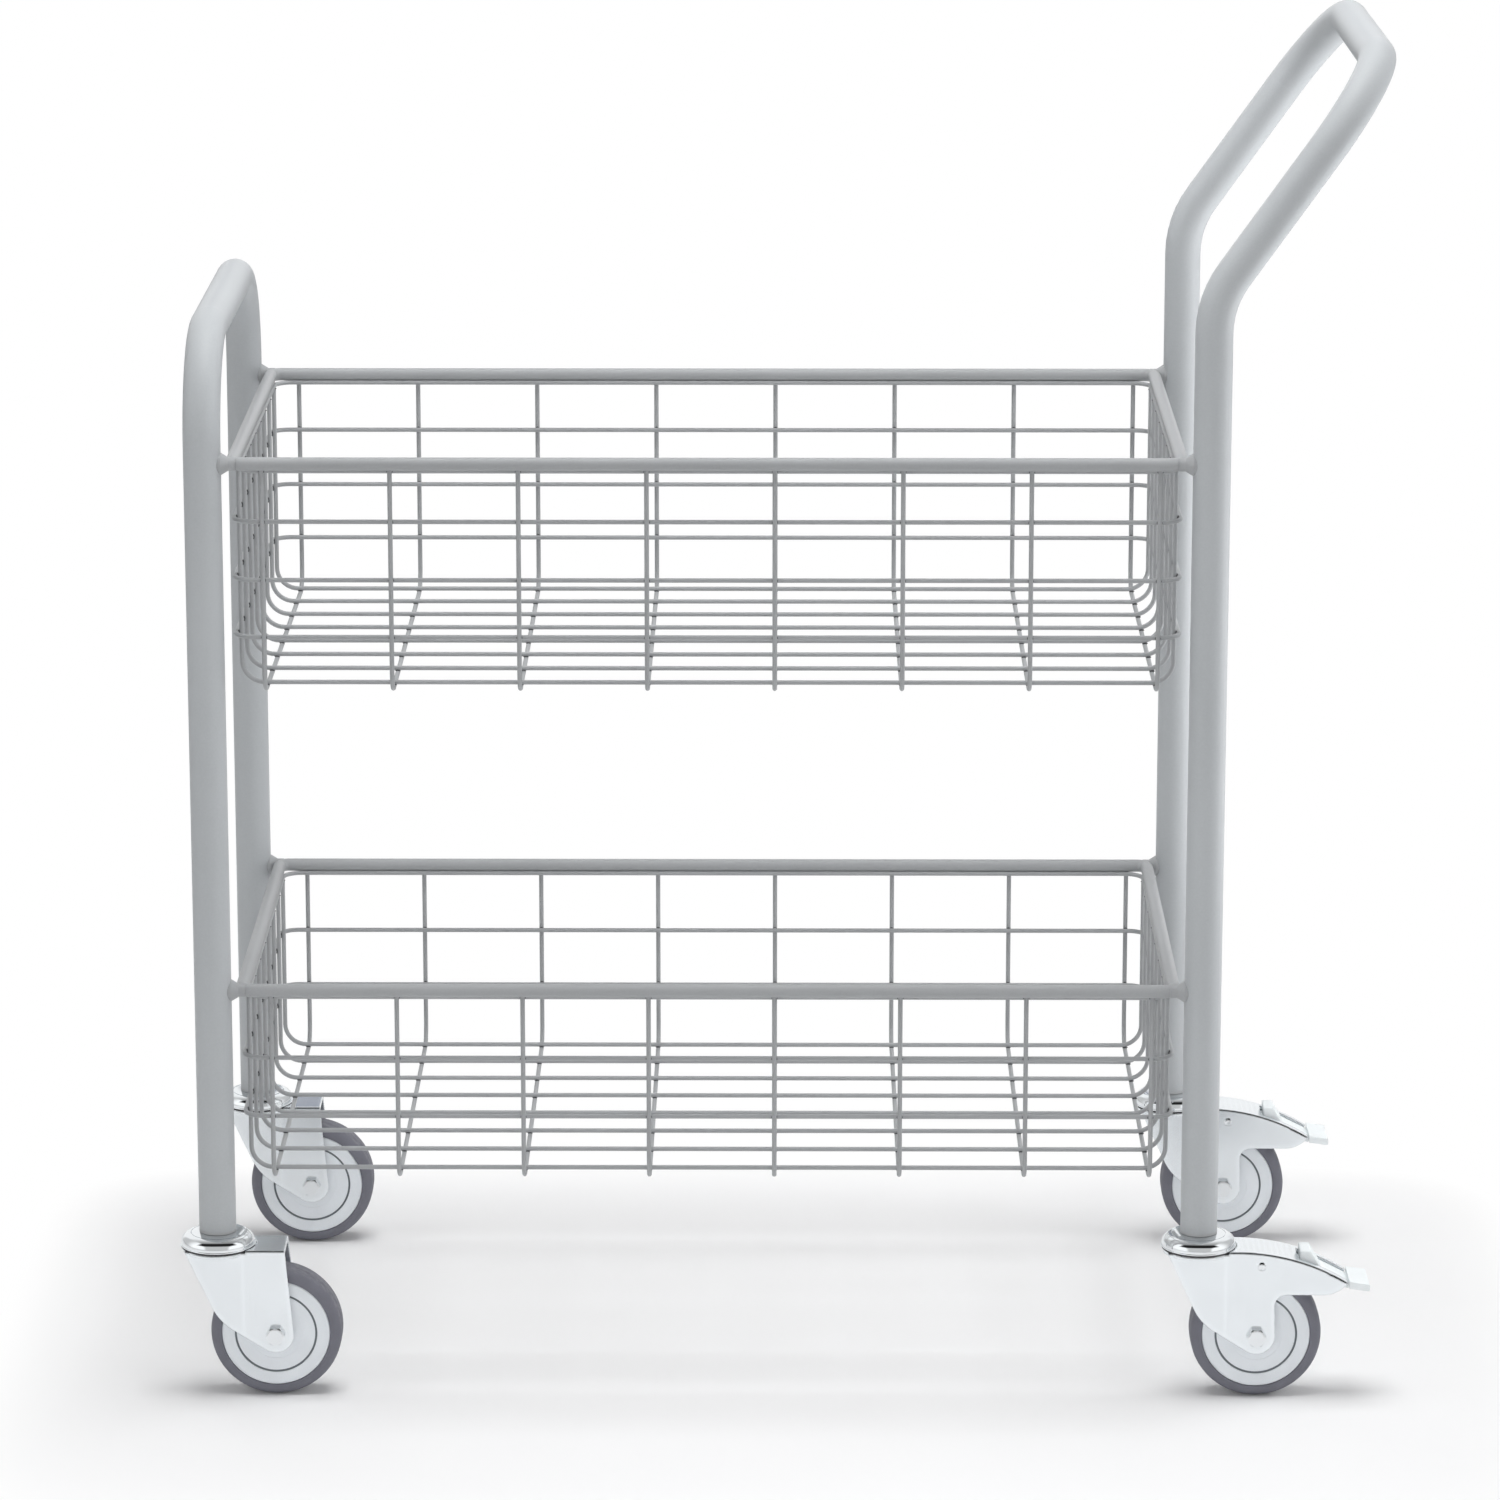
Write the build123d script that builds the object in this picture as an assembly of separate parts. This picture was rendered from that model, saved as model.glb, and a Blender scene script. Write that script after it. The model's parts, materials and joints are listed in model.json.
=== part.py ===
from build123d import *
import math
import os

# A mail cart: two bent tubes make its frame, two welded wire baskets hang between the posts, and four
# swivel casters stand in the posts' feet. The two casters at the push handle have brake pedals.
# Lengths are millimetres and angles are degrees. +X points to the push handle, +Y across the cart and
# +Z up. The wheels stand on z = 0. Front is the end without the handle, and left is the -Y side.

# Frame tubes
post_spacing_x = 747.0
post_spacing_y = 375.0
tube_diameter = 28.0
tube_wall = 1.8
front_rail_height = 812.0
front_rail_bend = 78.0
handle_knee_height = 844.0
handle_knee_bend = 75.0
handle_lean = 35.4
handle_lean_length = 209.8
handle_corner_bend = 75.0

# Basket rims
rod_diameter = 10.0
rod_corner_bend = 8.0
rod_to_post = 2.5
weld_diameter = 16.6
weld_reach = 5.5
weld_seat = 0.05
upper_rim_height = 721.5
lower_rim_height = 317.2

# Basket wires
wire_diameter = 3.5
wire_sides = 8
wire_bend = 17.0
hoop_bend = 15.0
upper_depth = 170.2
lower_depth = 145.8
upper_hoop_shares = (0.26, 0.52, 0.775)
lower_hoop_shares = (0.37, 0.685)
cross_wire_count = 8
cross_wire_margin = 19.2
cross_wire_shift = 2.8
long_wire_count = 8
long_wire_margin = 20.8

# Wheels
wheel_diameter = 100.0
tyre_width = 30.0
tyre_wall_height = 2.0
hub_diameter = 82.5
hub_width = 28.6
hub_edge = 0.8
hub_boss_diameter = 26.0
hub_dish = 0.8
groove_diameter = 61.4
groove_width = 1.5
groove_depth = 1.2
hub_side_gap = 0.3
press_gap = 0.05
running_gap = 0.05

# Axles
axle_diameter = 8.0
sleeve_wall = 2.0
axle_hex = 13.0
axle_head_height = 5.3
axle_nut_height = 6.5
axle_tip = 1.2
hex_bevel = 0.6

# Forks
caster_trail = 44.0
fork_rise = 17.2
fork_sheet = 2.5
wheel_side_gap = 2.0
fork_nose_reach = 24.2
fork_nose_taper = 2.2
fork_bend_line = 20.0
fork_edge_round = 1.6
cheek_top_back = 7.8
cheek_knee_ahead = 42.9
cheek_knee_rise = 10.6
cheek_knee_bend = 40.0
cheek_lobe_radius = 14.0

# Horns of the two braked forks
horn_reach = 69.0
horn_drop = 24.2
horn_depth = 34.0
horn_nose = 19.0
horn_notch_bend = 9.0
horn_notch_ahead = 13.0
horn_slot_reach = 31.0
horn_slot_width = 25.0

# Swivel heads
cap_diameter = 57.2
cap_height = 12.1
cap_flat_diameter = 41.0
cap_neck_diameter = 53.6
cap_lip_height = 3.6
cap_lip_round = 0.8
cap_recess_diameter = 51.2
cap_recess_depth = 3.0
dish_diameter = 54.0
dish_step = 2.2
dish_gap = 0.4
fork_cap_gap = 0.8
ring_bore = 16.0
ring_edge_gap = 0.4
ring_float = 0.15
stem_diameter = 10.0
stem_hex = 17.0
stem_head_height = 6.4
stem_head_gap = 0.2
stem_length_in_plug = 30.0
stem_hole_end = 1.0
collar_height = 2.0
plug_length = 36.0
plug_side_gap = 0.1
plug_chamfer = 1.5

# Brake pedals
pedal_travel = 8.0
pin_diameter = 5.0
pin_head_diameter = 6.4
pin_head_height = 1.1
pin_ahead = 3.3
pin_drop = 11.2
pedal_boss_diameter = 10.4
pedal_web_gap = 1.0
pedal_width = 28.0
pedal_arm_width = 22.0
arm_recess = 1.6
arm_depth = 5.0
shoe_thickness = 3.0
shoe_width = 20.0
shoe_start = 11.0
shoe_length = 17.0
shoe_tyre_gap = 0.3
tab_start = 33.0
tab_length = 16.0
tab_top_length = 8.0
tab_drop = 1.7
tab_width = 19.0
tread_gap = 1.0
tread_length = 15.5
tread_thickness = 5.2
tread_slope = 8.0
tread_round = 1.2
pedal_edge_round = 1.0

# One overrun for every cut, and how near counts as touching
overrun = 5.0
touch = 0.01

# Sizes that follow
post_x = post_spacing_x / 2
post_y = post_spacing_y / 2
tube_radius = tube_diameter / 2
rod_radius = rod_diameter / 2
wire_radius = wire_diameter / 2
rim_half_length = post_x - tube_radius - rod_to_post - rod_radius
rim_half_width = post_y
wheel_radius = wheel_diameter / 2
fork_top = wheel_diameter + fork_rise
fork_inner_width = tyre_width + 2 * wheel_side_gap
fork_outer_width = fork_inner_width + 2 * fork_sheet
dish_top = fork_top - dish_step
dish_under = dish_top - fork_sheet
cap_bottom = dish_top + dish_gap
cap_top = cap_bottom + cap_height
tube_foot = cap_top + collar_height
pin_x = caster_trail + pin_ahead
pin_z = fork_top - pin_drop
horn_tip_x = caster_trail + horn_reach
horn_tip_z = fork_top - horn_drop
horn_start_x = cap_diameter / 2
handle_x = post_x + handle_lean_length * math.sin(math.radians(handle_lean))
handle_z = handle_knee_height + handle_lean_length * math.cos(math.radians(handle_lean))
front_reach = post_x + cap_diameter / 2
rear_reach = handle_x + tube_radius
cart_centre_x = (rear_reach - front_reach) / 2


def slab(face, width):
    # A side outline made as wide as width, half to each side. Its x is the cart's X and its y is Z.
    side_view = Plane(origin=(0, 0, 0), x_dir=(1, 0, 0), z_dir=(0, -1, 0))
    return extrude(side_view * face, amount=width / 2, both=True)


def disc(radius, bottom, top):
    # An upright cylinder between two heights.
    return Pos(0, 0, (bottom + top) / 2) * Cylinder(radius, top - bottom)


def cross_rod(radius, width, x, z, y=0):
    # A cylinder that lies along Y.
    return Pos(x, y, z) * Rot(90, 0, 0) * Cylinder(radius, width)


def outline(*edges):
    return make_face(Wire(list(edges)))


def polygon(*points):
    return outline(*Polyline(*points, close=True).edges())


def tangent_point(point, centre, radius, turn):
    # Where a line from point touches a circle. turn is +1 or -1, for the left or the right touch.
    away_x = point[0] - centre[0]
    away_z = point[1] - centre[1]
    swing = math.acos(radius / math.hypot(away_x, away_z))
    angle = math.atan2(away_z, away_x) + turn * swing
    return (centre[0] + radius * math.cos(angle), centre[1] + radius * math.sin(angle))


def bent_hoop(points, bends):
    # A hoop of round tube, open at both feet. The points run from the middle of its top rail down to one
    # foot, along straight runs joined by bends, and the other half mirrors them.
    path = FilletPolyline(*points, radius=bends)
    start = Plane(origin=points[0], x_dir=(1, 0, 0), z_dir=(0, 1, 0))
    outside = sweep(start * Circle(tube_radius), path=path)
    inside = sweep(start * Circle(tube_radius - tube_wall), path=path)
    half = outside - inside
    return half + mirror(half, Plane.XZ)


def front_hoop():
    points = (
        (-post_x, 0, front_rail_height),
        (-post_x, post_y, front_rail_height),
        (-post_x, post_y, tube_foot),
    )
    return bent_hoop(points, (front_rail_bend,))


def handle_hoop():
    points = (
        (handle_x, 0, handle_z),
        (handle_x, post_y, handle_z),
        (post_x, post_y, handle_knee_height),
        (post_x, post_y, tube_foot),
    )
    return bent_hoop(points, (handle_corner_bend, handle_knee_bend))


def rim_weld(x_side, y_side):
    # A conical weld that joins one corner of a rim to its post.
    foot_x = post_x - tube_radius
    small_x = foot_x - weld_reach
    along = Plane(origin=(small_x, 0, 0), z_dir=(1, 0, 0))
    cone = Solid.make_cone(rod_radius, weld_diameter / 2, weld_reach, along)
    foot = Solid.make_cylinder(weld_diameter / 2, tube_radius, along.offset(weld_reach))
    stub = Solid.make_cylinder(rod_radius, rod_radius, along.offset(-rod_radius))
    post = Pos(post_x, 0, 0) * Cylinder(tube_radius + weld_seat, 2 * weld_diameter)
    weld = Pos(0, y_side * post_y, 0) * (Part() + stub + cone + foot - post)
    return weld if x_side > 0 else mirror(weld, Plane.YZ)


def looped(section, half_length, half_width, bend):
    # A closed rectangular ring of rod or wire: one half is swept and the other mirrors it.
    points = (
        (0, -half_width, 0),
        (half_length, -half_width, 0),
        (half_length, half_width, 0),
        (0, half_width, 0),
    )
    path = FilletPolyline(*points, radius=(bend, bend))
    start = Plane(origin=points[0], x_dir=(0, 1, 0), z_dir=(1, 0, 0))
    half = sweep(start * section, path=path)
    return half + mirror(half, Plane.YZ)


def rim(height):
    # The round rod round a basket's mouth, with a weld at each corner.
    body = looped(Circle(rod_radius), rim_half_length, rim_half_width, rod_corner_bend)
    for x_side in (-1, 1):
        for y_side in (-1, 1):
            body = body + rim_weld(x_side, y_side)
    return Pos(0, 0, height) * body


def wire_section():
    return RegularPolygon(wire_radius, wire_sides, major_radius=False, rotation=180 / wire_sides)


def bent_wire(half_span, top, bottom, across):
    # One U-shaped wire with its ends up, in the plane of +Y where across is true, else in that of +X.
    side = (0, 1, 0) if across else (1, 0, 0)
    points = [
        (half_span * side[0] * end, half_span * side[1] * end, z)
        for end, z in ((-1, top), (-1, bottom), (1, bottom), (1, top))
    ]
    path = FilletPolyline(*points, radius=(wire_bend, wire_bend))
    start = Plane(origin=points[0], x_dir=(1, 0, 0), z_dir=(0, 0, -1))
    return sweep(start * wire_section(), path=path)


def wire_places(count, half_length, margin, shift):
    pitch = 2 * (half_length - margin) / (count - 1)
    return [shift - half_length + margin + pitch * index for index in range(count)]


def cross_wires(height, depth):
    # The outer wires: they run across the cart and end in the hollow of the rim's long rods.
    bottom = height - depth - wire_diameter
    wire = bent_wire(rim_half_width, height, bottom, True)
    for end in (-1, 1):
        rod = Pos(0, end * rim_half_width, height) * Rot(0, 90, 0) * Cylinder(rod_radius, rod_diameter)
        wire = wire - rod
    wire = wire.solids().sort_by(SortBy.VOLUME)[-1]
    places = wire_places(cross_wire_count, rim_half_length, cross_wire_margin, cross_wire_shift)
    return [Pos(x, 0, 0) * wire for x in places]


def top_hoop_drop():
    # How far the hoop under the rim lies below it, when it touches the rod from inside.
    wire_corner = wire_radius / math.cos(math.pi / wire_sides)
    return math.sqrt((rod_radius + wire_corner) ** 2 - wire_diameter**2)


def long_wires(height, depth):
    # The inner wires: they run along the cart and end under the hoop below the rim.
    top = height - top_hoop_drop() - wire_radius
    wire = bent_wire(rim_half_length - wire_diameter, top, height - depth, False)
    places = wire_places(long_wire_count, rim_half_width, long_wire_margin, 0)
    return [Pos(0, y, 0) * wire for y in places]


def hoop_wire(half_length, height):
    return Pos(0, 0, height) * looped(wire_section(), half_length, rim_half_width - wire_diameter, hoop_bend)


def hoop_wires(height, depth, shares):
    # The hoops lie between the cross wires and the long wires. The top one lies in the rim's lee.
    hoops = [hoop_wire(rim_half_length - wire_diameter, height - top_hoop_drop())]
    for share in shares:
        hoops.append(hoop_wire(rim_half_length, height - share * depth))
    return hoops


def tube_plug():
    # The plug in a post's foot. Its flange is the collar between the tube and the swivel cap.
    radius = tube_radius - tube_wall - plug_side_gap
    plug_end = tube_foot + plug_length
    body = disc(tube_radius, cap_top, tube_foot) + disc(radius, tube_foot, plug_end)
    body = chamfer(body.edges().group_by(Axis.Z)[-1], plug_chamfer)
    hole = disc(stem_diameter / 2 + press_gap, cap_top - overrun, tube_foot + stem_length_in_plug + stem_hole_end)
    return body - hole


def stem_bolt():
    # The bolt that holds a caster to its plug. The fork turns on it.
    head_top = dish_under - stem_head_gap
    head = RegularPolygon(stem_hex / 2, 6, major_radius=False)
    bolt = extrude(Pos(0, 0, head_top - stem_head_height) * head, amount=stem_head_height)
    return bolt + disc(stem_diameter / 2, head_top, tube_foot + stem_length_in_plug)


def swivel_cap():
    # A rolled bulge above a lip, with a recess for the thrust ring.
    lip_radius = cap_diameter / 2
    neck_radius = cap_neck_diameter / 2
    flat_radius = cap_flat_diameter / 2
    bore_radius = stem_diameter / 2 + press_gap
    recess_radius = cap_recess_diameter / 2
    bulge = neck_radius - flat_radius
    lip_top = cap_bottom + cap_lip_height
    recess_top = cap_bottom + cap_recess_depth
    section = outline(
        Line((bore_radius, recess_top), (bore_radius, cap_top)),
        Line((bore_radius, cap_top), (flat_radius, cap_top)),
        TangentArc((flat_radius, cap_top), (neck_radius, cap_top - bulge), tangent=(1, 0)),
        Line((neck_radius, cap_top - bulge), (neck_radius, lip_top)),
        TangentArc((neck_radius, lip_top), (lip_radius, lip_top - cap_lip_round), tangent=(1, 0)),
        Line((lip_radius, lip_top - cap_lip_round), (lip_radius, cap_bottom)),
        Line((lip_radius, cap_bottom), (recess_radius, cap_bottom)),
        Line((recess_radius, cap_bottom), (recess_radius, recess_top)),
        Line((recess_radius, recess_top), (bore_radius, recess_top)),
    )
    return revolve(Plane.XZ * section, Axis.Z)


def thrust_ring():
    # The flat bearing ring between the cap and the fork's dish.
    outer = cap_recess_diameter / 2 - ring_edge_gap
    bottom = dish_top + ring_float
    top = cap_bottom + cap_recess_depth
    return disc(outer, bottom, top) - disc(ring_bore / 2, bottom - overrun, top + overrun)


def fork_plan(narrower):
    # The fork seen from above, between its cheeks' outer faces moved in by narrower.
    half = fork_outer_width / 2 - narrower
    nose_half = half - fork_nose_taper
    back = horn_tip_x + overrun
    nose = -fork_nose_reach - overrun
    corners = [(nose, -nose_half), (fork_bend_line, -half), (back, -half)]
    corners += [(x, -y) for x, y in reversed(corners)]
    return make_face(Polyline(*corners, close=True))


def cheek_outline(braked):
    # The side view of a cheek: a straight nose, a knee and a round lobe about the axle.
    axle = (caster_trail, wheel_radius)
    nose = (-fork_nose_reach, dish_top)
    knee = (axle[0] - cheek_knee_ahead, axle[1] + cheek_knee_rise)
    back_top = (axle[0] + cheek_top_back, fork_top)
    front_touch = tangent_point(knee, axle, cheek_lobe_radius, 1)
    back_touch = tangent_point(back_top, axle, cheek_lobe_radius, -1)
    lobe_bottom = (axle[0], axle[1] - cheek_lobe_radius)
    edges = [
        Line((-fork_nose_reach, fork_top), nose),
        Line(nose, knee),
        Line(knee, front_touch),
        ThreePointArc(front_touch, lobe_bottom, back_touch),
    ]
    if braked:
        notch = (axle[0] + horn_notch_ahead, fork_top - horn_depth)
        belly = (horn_tip_x - horn_nose, fork_top - horn_depth)
        tip = (horn_tip_x, horn_tip_z)
        horn_start = (horn_start_x, fork_top)
        notch_touch = tangent_point(notch, axle, cheek_lobe_radius, -1)
        edges[-1] = ThreePointArc(front_touch, lobe_bottom, notch_touch)
        edges += [
            Line(notch_touch, notch),
            Line(notch, belly),
            TangentArc(belly, tip, tangent=(1, 0)),
            TangentArc(horn_start, tip, tangent=(1, 0)),
            Line(horn_start, (-fork_nose_reach, fork_top)),
        ]
        corners = {notch: horn_notch_bend, knee: cheek_knee_bend}
    else:
        edges += [Line(back_touch, back_top), Line(back_top, (-fork_nose_reach, fork_top))]
        corners = {knee: cheek_knee_bend}
    face = outline(*edges)
    for corner, bend in corners.items():
        vertex = face.vertices().sort_by_distance((corner[0], corner[1], 0))[0]
        face = fillet(vertex, bend)
    return face


def horn_radius():
    # The radius of the horn's back, which leaves the fork's top level and ends at the tip.
    run = horn_tip_x - horn_start_x
    return (run**2 + horn_drop**2) / (2 * horn_drop)


def horn_height(x, inset):
    # The height of the horn's back at x, moved inwards by inset.
    centre_z = fork_top - horn_radius()
    ahead = max(x - horn_start_x, 0)
    return centre_z + math.sqrt((horn_radius() - inset) ** 2 - ahead**2)


# The pedal's places along the horn
arm_inset = fork_sheet + pedal_web_gap
tab_x = caster_trail + tab_start
tab_end = tab_x + tab_length
tab_end_top = horn_height(tab_end, arm_recess)
arm_end = horn_tip_x + tread_gap
arm_end_top = horn_height(horn_tip_x, arm_recess)


def fork_hollow(braked):
    # The room between the cheeks, under the top sheet.
    low = -overrun
    nose = -fork_nose_reach - overrun
    step_x = dish_diameter / 2 + fork_sheet
    back = horn_tip_x + overrun
    sheet_under = fork_top - fork_sheet
    edges = [
        Line((nose, low), (nose, dish_under)),
        Line((nose, dish_under), (step_x, dish_under)),
        Line((step_x, dish_under), (step_x, horn_height(step_x, fork_sheet) if braked else sheet_under)),
    ]
    if braked:
        start = (step_x, horn_height(step_x, fork_sheet))
        middle_x = (step_x + back) / 2
        middle = (middle_x, horn_height(middle_x, fork_sheet))
        end = (back, horn_height(back, fork_sheet))
        edges += [ThreePointArc(start, middle, end), Line(end, (back, low))]
    else:
        edges += [Line((step_x, sheet_under), (back, sheet_under)), Line((back, sheet_under), (back, low))]
    edges.append(Line((back, low), (nose, low)))
    room = slab(outline(*edges), fork_outer_width)
    return room & extrude(Pos(0, 0, low) * fork_plan(fork_sheet), amount=fork_top + overrun)


def back_edges(body, braked):
    # The long upper edges of a fork behind its bend line, where the sheet folds over into the cheeks.
    found = []
    for edge in body.edges():
        middle = edge @ 0.5
        back = horn_height(middle.X, 0) if braked else fork_top
        on_back = abs(middle.Z - back) < touch and middle.X > fork_bend_line
        if on_back and abs(abs(middle.Y) - fork_outer_width / 2) < touch:
            found.append(edge)
    return found


def fork(braked):
    # A folded sheet fork: two cheeks, a top sheet, and a round dish that the head turns on.
    body = slab(cheek_outline(braked), fork_outer_width)
    body = body & extrude(fork_plan(0), amount=fork_top + overrun)
    body = fillet(back_edges(body, braked), fork_edge_round)
    body = body - fork_hollow(braked)
    body = body - disc(cap_diameter / 2 + fork_cap_gap, dish_top, fork_top + overrun)
    body = body + disc(dish_diameter / 2, dish_under, dish_top)
    body = body - disc(stem_diameter / 2 + running_gap, dish_under - overrun, dish_top + overrun)
    full_width = fork_outer_width + 2 * overrun
    body = body - cross_rod(axle_diameter / 2 + press_gap, full_width, caster_trail, wheel_radius)
    if braked:
        body = body - cross_rod(pin_diameter / 2 + press_gap, full_width, pin_x, pin_z)
        body = body - horn_slot()
    return body.solids().sort_by(SortBy.VOLUME)[-1]


def horn_slot():
    # The open slot in the horn's back, which the pedal's tab and arm stand in.
    start_x = caster_trail + horn_slot_reach
    length = horn_tip_x + overrun - start_x
    height = 2 * horn_drop
    centre = ((start_x + horn_tip_x + overrun) / 2, 0, horn_tip_z + height / 2 - fork_sheet)
    return Pos(*centre) * Box(length, horn_slot_width, height)


def axle_hexagon(height, outwards):
    # A bevelled hexagonal head or nut on the fork's outer face, on the axle.
    face_y = outwards * fork_outer_width / 2
    flat = Plane(origin=(caster_trail, face_y, wheel_radius), x_dir=(1, 0, 0), z_dir=(0, outwards, 0))
    body = extrude(flat * RegularPolygon(axle_hex / 2, 6, major_radius=False), amount=height)
    cone_top = axle_hex / 2
    slope_height = height + hex_bevel
    bevel = Solid.make_cone(cone_top + slope_height, cone_top, slope_height, flat.offset(-hex_bevel))
    return body & bevel


def axle_bolt():
    past_fork = axle_nut_height + axle_tip
    length = fork_outer_width + past_fork
    shank = cross_rod(axle_diameter / 2, length, caster_trail, wheel_radius, past_fork / 2)
    return axle_hexagon(axle_head_height, -1) + shank


def axle_nut():
    length = fork_outer_width + 2 * (axle_nut_height + overrun)
    hole = cross_rod(axle_diameter / 2 + press_gap, length, caster_trail, wheel_radius)
    return axle_hexagon(axle_nut_height, 1) - hole


def axle_sleeve():
    outer = axle_diameter / 2 + sleeve_wall
    tube = cross_rod(outer, fork_inner_width, caster_trail, wheel_radius)
    hole = cross_rod(axle_diameter / 2 + press_gap, fork_inner_width + overrun, caster_trail, wheel_radius)
    return tube - hole


def wheel_revolve(edges):
    # A section drawn as (radius, distance from the wheel's middle plane), turned about the axle.
    section = outline(*edges)
    turned = revolve(Plane.XZ * section, Axis.Z)
    return Pos(caster_trail, 0, wheel_radius) * Rot(90, 0, 0) * turned


def mirrored_chain(points):
    # Straight edges through the points, and back through their mirror images.
    chain = list(points) + [(radius, -side) for radius, side in reversed(points)]
    return [Line(first, second) for first, second in zip(chain, chain[1:] + chain[:1])]


def wheel_hub():
    # A moulded wheel centre: a raised boss, a dished disc, a ring groove and a flat outer band.
    bore = axle_diameter / 2 + sleeve_wall + running_gap
    rim_radius = hub_diameter / 2
    boss_side = fork_inner_width / 2 - hub_side_gap
    side = hub_width / 2
    boss = hub_boss_diameter / 2
    groove_out = (groove_diameter + groove_width) / 2
    groove_in = (groove_diameter - groove_width) / 2
    boss_slope = boss_side - side + hub_dish
    points = (
        (bore, boss_side),
        (boss - boss_slope, boss_side),
        (boss, side + hub_dish),
        (groove_in, side - hub_dish / 2),
        (groove_in, side - groove_depth),
        (groove_out, side - groove_depth),
        (groove_out, side),
        (rim_radius - hub_edge, side),
        (rim_radius, side - hub_edge),
    )
    return wheel_revolve(mirrored_chain(points))


def tyre():
    # A soft ring with flat walls, round shoulders and a flat tread.
    seat = hub_diameter / 2 + press_gap
    side = tyre_width / 2
    wall_top = seat + tyre_wall_height
    tread = side - (wheel_radius - wall_top)
    edges = [
        Line((seat, -side), (seat, side)),
        Line((seat, side), (wall_top, side)),
        TangentArc((wall_top, side), (wheel_radius, tread), tangent=(1, 0)),
        Line((wheel_radius, tread), (wheel_radius, -tread)),
        TangentArc((wall_top, -side), (wheel_radius, -tread), tangent=(1, 0)),
        Line((wall_top, -side), (seat, -side)),
    ]
    return wheel_revolve(edges)


def pedal_pin():
    half = fork_outer_width / 2
    pin = cross_rod(pin_diameter / 2, fork_outer_width, pin_x, pin_z)
    for side in (-1, 1):
        centre = side * (half + pin_head_height / 2)
        pin = pin + cross_rod(pin_head_diameter / 2, pin_head_height, pin_x, pin_z, centre)
    return pin


def pressed_axle():
    # Where the axle lies as the pedal sees it when the pedal is fully down.
    angle = math.radians(-pedal_travel)
    away_x = caster_trail - pin_x
    away_z = wheel_radius - pin_z
    x = pin_x + away_x * math.cos(angle) + away_z * math.sin(angle)
    z = pin_z - away_x * math.sin(angle) + away_z * math.cos(angle)
    return (x, z)


def shoe_point(x, radius):
    # A point on an arc about the pressed axle, above it at x.
    centre = pressed_axle()
    return (x, centre[1] + math.sqrt(radius**2 - (x - centre[0]) ** 2))


def shoe_arc(start_x, end_x, radius):
    middle_x = (start_x + end_x) / 2
    return ThreePointArc(
        shoe_point(start_x, radius), shoe_point(middle_x, radius), shoe_point(end_x, radius)
    )


def brake_shoe():
    # The pad that the pedal presses on the tyre. Its face is round about the pressed tyre.
    face_radius = wheel_radius + shoe_tyre_gap
    back_radius = face_radius + shoe_thickness
    start = pin_x + shoe_start
    end = start + shoe_length
    section = outline(
        shoe_arc(start, end, back_radius),
        Line(shoe_point(end, back_radius), shoe_point(end, face_radius)),
        shoe_arc(start, end, face_radius),
        Line(shoe_point(start, face_radius), shoe_point(start, back_radius)),
    )
    return slab(section, shoe_width)


def pedal_arm():
    # The arm from the boss on the pin to the tread, thickened down to the shoe's back.
    shoe_back = wheel_radius + shoe_tyre_gap + shoe_thickness
    shoe_x = pin_x + shoe_start
    shoe_end = shoe_x + shoe_length
    start_top = (pin_x, horn_height(pin_x, arm_inset))
    middle_x = (pin_x + tab_x) / 2
    tab_foot = (tab_x, horn_height(tab_x, arm_inset))
    side = outline(
        ThreePointArc(start_top, (middle_x, horn_height(middle_x, arm_inset)), tab_foot),
        Line(tab_foot, (tab_end, tab_end_top)),
        Line((tab_end, tab_end_top), (arm_end, arm_end_top)),
        Line((arm_end, arm_end_top), (arm_end, arm_end_top - arm_depth)),
        Line((arm_end, arm_end_top - arm_depth), (tab_end, tab_end_top - 2 * arm_depth)),
        Line((tab_end, tab_end_top - 2 * arm_depth), shoe_point(shoe_end, shoe_back)),
        shoe_arc(shoe_x, shoe_end, shoe_back),
        Line(shoe_point(shoe_x, shoe_back), (pin_x, pin_z)),
        Line((pin_x, pin_z), start_top),
    )
    return slab(side, pedal_arm_width)


def release_tab():
    # The tab that stands in the slot of the horn, for the toe that lifts the brake.
    side = polygon(
        (tab_x, horn_height(tab_x, arm_inset + fork_sheet)),
        (tab_x, fork_top - tab_drop),
        (tab_x + tab_top_length, fork_top - tab_drop),
        (tab_end, tab_end_top),
        (tab_end, tab_end_top - fork_sheet),
    )
    tab = slab(side, tab_width)
    return fillet(tab.edges().group_by(Axis.Z)[-1], pedal_edge_round)


def pedal_tread():
    # The plate past the horn's tip, as wide as the fork, which the foot presses.
    fall = tread_length * math.tan(math.radians(tread_slope))
    top = arm_end_top + fork_sheet
    side = polygon(
        (arm_end, top),
        (arm_end + tread_length, top - fall),
        (arm_end + tread_length, top - fall - tread_thickness),
        (arm_end, top - tread_thickness),
    )
    tread = slab(side, fork_outer_width)
    return fillet(tread.edges().filter_by(Axis.Y).group_by(Axis.X)[-1], tread_round)


def brake_pedal():
    # A rocker on the pin: an arm under the horn, a release tab in the slot and a tread past the tip.
    body = pedal_arm() + cross_rod(pedal_boss_diameter / 2, pedal_width, pin_x, pin_z)
    body = body + release_tab() + pedal_tread()
    return body - cross_rod(pin_diameter / 2 + running_gap, pedal_width + overrun, pin_x, pin_z)


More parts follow.
